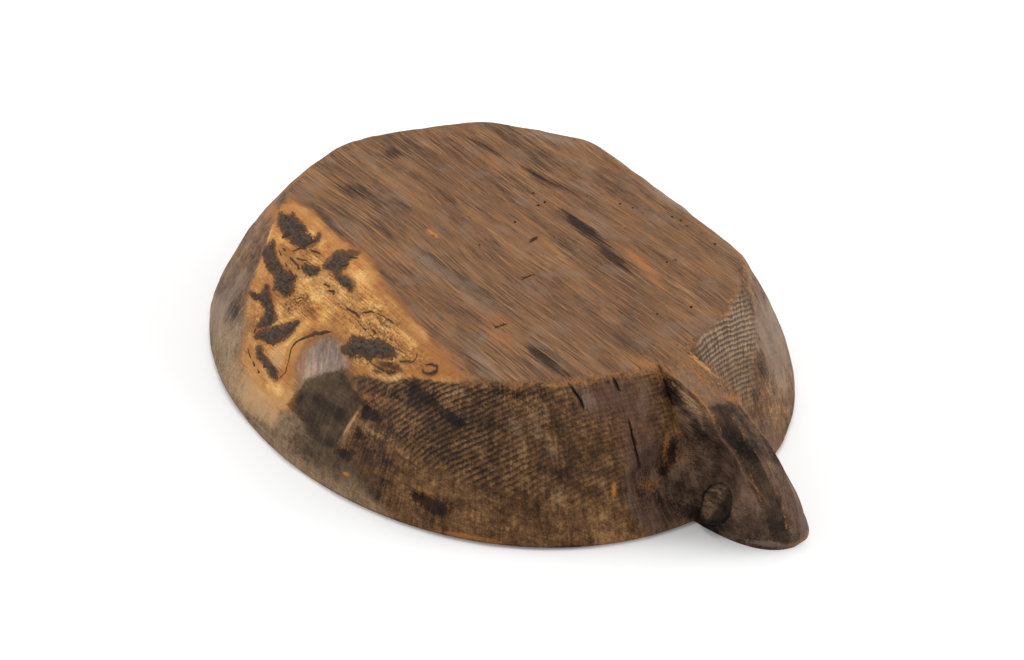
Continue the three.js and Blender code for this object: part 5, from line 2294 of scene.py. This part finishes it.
    @staticmethod
    def torn(graph: Graph, stain: StainAndPaintedLight, pattern: Feed, pull: float) -> Feed:
        """A layer's cover, for stains and painted shade and highlight alike, with its border torn by a
        pattern: it spreads where the pattern is high.

        Args:
            graph: the material.
            stain: the layer.
            pattern: a number about 0.5.
            pull: how far the border moves, or the other way if negative.

        Returns:
            The cover from 0 to 1.
        """
        cover = graph.attribute(stain.value)
        edge = graph.product(graph.math("SUBTRACT", pattern, 0.5), pull)
        gate = graph.ease(cover, 0.03, 0.2)
        return graph.product(graph.ease(graph.math("ADD", cover, edge), 0.25, 0.75), gate)

    def stains_and_painted_light(self, graph: Graph, colour: Feed, grain: Grain) -> Feed:
        """Lays the stains, the painted shade and highlight, and the worn edges over a colour, each broken up
        by the grain.

        Args:
            graph: the material.
            colour: what lies under them.
            grain: the patterns.

        Returns:
            The stained colour.
        """
        long = graph.math("MAXIMUM", graph.attribute(Zone.FLAT.value), graph.attribute(StainAndPaintedLight.GOLD.value))
        long = graph.math("MAXIMUM", long, graph.attribute(Zone.HANDLE.value))
        ends = graph.blend(((grain.speck, 0.5), (grain.other_blotch, 0.9), (grain.fall, 0.5)), -0.45)
        fibres = graph.blend(((grain.streak, 1.0), (grain.speck, 0.6), (grain.blotch, 0.6)), -0.6)
        rough = graph.either(long, ends, fibres)
        # DARK and SHADE multiply painted shade into the colour; WARM and PALE also carry painted highlight
        layers = (
            (StainAndPaintedLight.RUST, self.rust, 0.55, 2.0, "MIX"), (StainAndPaintedLight.PLUM, self.plum, 0.6, 1.0, "MIX"),
            (StainAndPaintedLight.GREY, self.grey, 0.6, 1.2, "MIX"), (StainAndPaintedLight.SHADE, self.shade, 0.9, 1.5, "MULTIPLY"),
            (StainAndPaintedLight.WARM, self.warm, 0.75, 1.4, "MIX"), (StainAndPaintedLight.DARK, self.pit_shade_and_stain, 0.95, -1.3, "MULTIPLY"),
            (StainAndPaintedLight.PALE, self.pale, 0.7, 1.2, "MIX"), (StainAndPaintedLight.SCAR, self.scar, 0.85, 2.4, "MIX"),
            (StainAndPaintedLight.NICK, self.nick, 0.85, 0.8, "MIX"),
        )
        for stain, shade, most, pull, blend in layers:
            cover = graph.product(self.torn(graph, stain, rough, pull), most)
            colour = graph.mix(cover, colour, tone(shade), blend)
        strewn = graph.attribute(StainAndPaintedLight.FRASS.value)
        for pattern, low, high, shade in (
            (grain.mottle, 0.58, 0.66, self.straw), (grain.speck, 0.52, 0.57, self.dark),
            (grain.stroke, 0.57, 0.61, self.scar),
        ):
            share = graph.product(graph.ease(pattern, low, high, (0.0, self.frass_most)), strewn)
            colour = graph.mix(share, colour, tone(shade))
        chipped = graph.blend(((grain.other_blotch, 0.8), (grain.speck, 0.5)), -0.15)
        worn = graph.product(graph.attribute(Zone.EDGE.value), graph.ease(chipped, 0.44, 0.6))
        return graph.mix(graph.product(worn, self.edge_most), colour, tone(self.edge))


@dataclass(frozen=True)
class KnotWood:
    """Hard knot wood with lines across it, dark on its sunk side with rot and painted shade, and black round
    its rim with painted shade in the crack.
    """

    tones: tuple[Stop, ...] = ((0.36, (44, 31, 21)), (0.5, (98, 74, 54)), (0.66, (148, 117, 88)))
    # Dark rot, with painted shade of the sunk side's hollow
    rotten: Rgb = (34, 24, 16)
    # Painted shade in the crack round the knot's rim
    gap: Rgb = (22, 15, 11)
    turn: float = math.radians(40)
    roughness: float = 0.7
    gloss: float = 0.3
    bump: Spot = (0.7, 0.0008)
    side: ClassVar[str] = "knot_side"
    rim: ClassVar[str] = "knot_rim"

    def material(self) -> bpy.types.Material:
        """The knot's material: end-grain lines across it, dark pores, rot with painted shade on its sunk
        side, and painted shade in the crack round its rim.

        Returns:
            The material.
        """
        graph = Graph("knot_wood")
        place = graph.place(self.turn)
        lines = graph.grain(place, (0.16, 0.16, 0.9), 2.0, 4.0, 0.65)
        pores = graph.grain(place, (0.5, 0.5, 0.5), 6.0, 4.0, 0.7)
        colour = graph.ramp(graph.blend(((lines, 0.7), (pores, 0.5)), -0.1), self.tones)
        # Rot and painted shade on the sunk side
        rot = graph.blend(((graph.attribute(self.side), 1.0), (lines, 0.8)), -0.4)
        colour = graph.mix(graph.ease(rot, 0.0, 0.25, (0.0, 0.85)), colour, tone(self.rotten))
        # Painted shade: black in the crack round the rim
        edge = graph.blend(((graph.attribute(self.rim), 1.0), (pores, 0.8)), -0.4)
        colour = graph.mix(graph.ease(edge, 0.76, 0.92, (0.0, 0.95)), colour, tone(self.gap))
        graph.bump(lines, *self.bump)
        return graph.finish(colour, self.roughness, self.gloss)


@dataclass(frozen=True)
class DryBark:
    """Charcoal-grey bark, pitted and fibrous, and brown where it thins out."""

    tones: tuple[Stop, ...] = ((0.34, (36, 28, 24)), (0.5, (66, 54, 46)), (0.7, (98, 82, 68)))
    thin: Rgb = (92, 60, 36)
    turn: float = math.radians(-5)
    roughness: float = 0.85
    gloss: float = 0.2
    bump: Spot = (0.5, 0.0004)
    lift: ClassVar[str] = "bark_lift"

    def material(self) -> bpy.types.Material:
        """The bark's material: grey fibres and pits, with thin brown edges.

        Returns:
            The material.
        """
        graph = Graph("bark")
        place = graph.place(self.turn)
        fibres = graph.grain(place, (0.18, 0.8, 0.8), 3.0, 4.0, 0.65)
        pits = graph.grain(place, (0.6, 0.6, 0.6), 7.0, 4.0, 0.7)
        value = graph.blend(((fibres, 0.6), (pits, 0.6)), -0.1)
        colour = graph.ramp(value, self.tones)
        worn = graph.blend(((graph.attribute(self.lift), 1.0), (pits, 1.2)), -0.6)
        colour = graph.mix(graph.ease(worn, 0.6, 0.1, (0.0, 0.8)), colour, tone(self.thin))
        graph.bump(value, *self.bump)
        return graph.finish(colour, self.roughness, self.gloss)


@dataclass(frozen=True)
class Softbox:
    """One soft lamp: where it stands and what it aims at in metres, its size and its power in watts."""

    name: str
    place: Place
    size: float
    power: float
    aim: Place = (0.0, 0.0, 0.03)


@dataclass
class Studio:
    """A white sweep under soft lamps."""

    floor_size: float = 9.0
    floor_tone: float = 0.92
    floor_roughness: float = 0.9
    floor_gloss: float = 0.1
    ambient: float = 0.56
    lamps: tuple[Softbox, ...] = (
        Softbox("overhead", (-0.3, 0.4, 1.5), 1.3, 9.5),
        Softbox("left", (-1.1, -0.75, 0.8), 0.9, 9.0),
        Softbox("right", (0.85, 1.05, 0.8), 0.9, 12.8),
    )

    def build(self) -> None:
        """Adds the floor, the lamps and the even light from all round."""
        half = self.floor_size / 2
        mesh = bpy.data.meshes.new("floor")
        corners = [(-half, -half, 0), (half, -half, 0), (half, half, 0), (-half, half, 0)]
        mesh.from_pydata(corners, [], [(0, 1, 2, 3)])
        floor = bpy.data.objects.new("floor", mesh)
        bpy.context.scene.collection.objects.link(floor)
        white = (self.floor_tone, self.floor_tone, self.floor_tone, 1.0)
        paper = Graph("floor_paper").finish(white, self.floor_roughness, self.floor_gloss)
        mesh.materials.append(paper)
        for lamp in self.lamps:
            data = bpy.data.lights.new(lamp.name, "AREA")
            data.shape = "DISK"
            data.size = lamp.size
            data.energy = lamp.power
            light = bpy.data.objects.new(lamp.name, data)
            light.location = lamp.place
            towards = Vector(lamp.aim) - Vector(lamp.place)
            light.rotation_euler = towards.to_track_quat("-Z", "Y").to_euler()
            bpy.context.scene.collection.objects.link(light)
        world = bpy.data.worlds.new("studio")
        world.use_nodes = True
        backdrop = world.node_tree.nodes["Background"]
        backdrop.inputs["Color"].default_value = (1.0, 1.0, 1.0, 1.0)
        backdrop.inputs["Strength"].default_value = self.ambient
        bpy.context.scene.world = world
        bpy.context.scene.view_settings.view_transform = "Standard"


def dress(piece: bpy.types.Object, finish: bpy.types.Material, slot: str, *nodes: str) -> None:
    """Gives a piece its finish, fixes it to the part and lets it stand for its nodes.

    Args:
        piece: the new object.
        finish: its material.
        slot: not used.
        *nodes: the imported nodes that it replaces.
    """
    piece.data.materials.clear()
    piece.data.materials.append(finish)
    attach(piece, "root")
    if nodes:
        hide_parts(*nodes)
    LOGGER.info("%s: %d points, %d faces", piece.name, len(piece.data.vertices), len(piece.data.polygons))


def main() -> None:
    """Builds the studio, the block, the knot and the bark in order."""
    logging.basicConfig(level=logging.INFO, format="%(name)s: %(message)s")
    view = PhotoView()
    view.add_camera()
    Studio().build()
    log = HalfLog()
    bowl = BowlShape(log)
    handle = HandleShape()
    knot = KnotShape()
    thin = [thinner(shred, Bark.shred_share) for shred in SHREDS]
    strips = [shred for shreds in FLAKES.values() for shred in shreds]
    timber = Timber(bowl, handle, knot, view, strips + thin).build()
    dress(timber, WeatheredWood().material(), "weathered_wood", "carved_bowl")
    plug = knot.plug(handle).to_object("knot")
    shade_by_angle(plug.data, knot.crease)
    knot.keep_sides(plug.data)
    dress(plug, KnotWood().material(), "knot_wood", "handle_knot")
    bark = Bark(log, bowl.height, view)
    finish = DryBark().material()
    first, step = bark.flake_seeds
    for number, (node, shreds) in enumerate(FLAKES.items()):
        piece = bark.flake(node.replace("patch", "flake"), shreds, first + step * number)
        dress(piece, finish, "bark", node)
    dress(bark.flake("bark_shreds", thin, bark.shred_seed), finish, "bark")


if __name__ == "__main__":
    main()
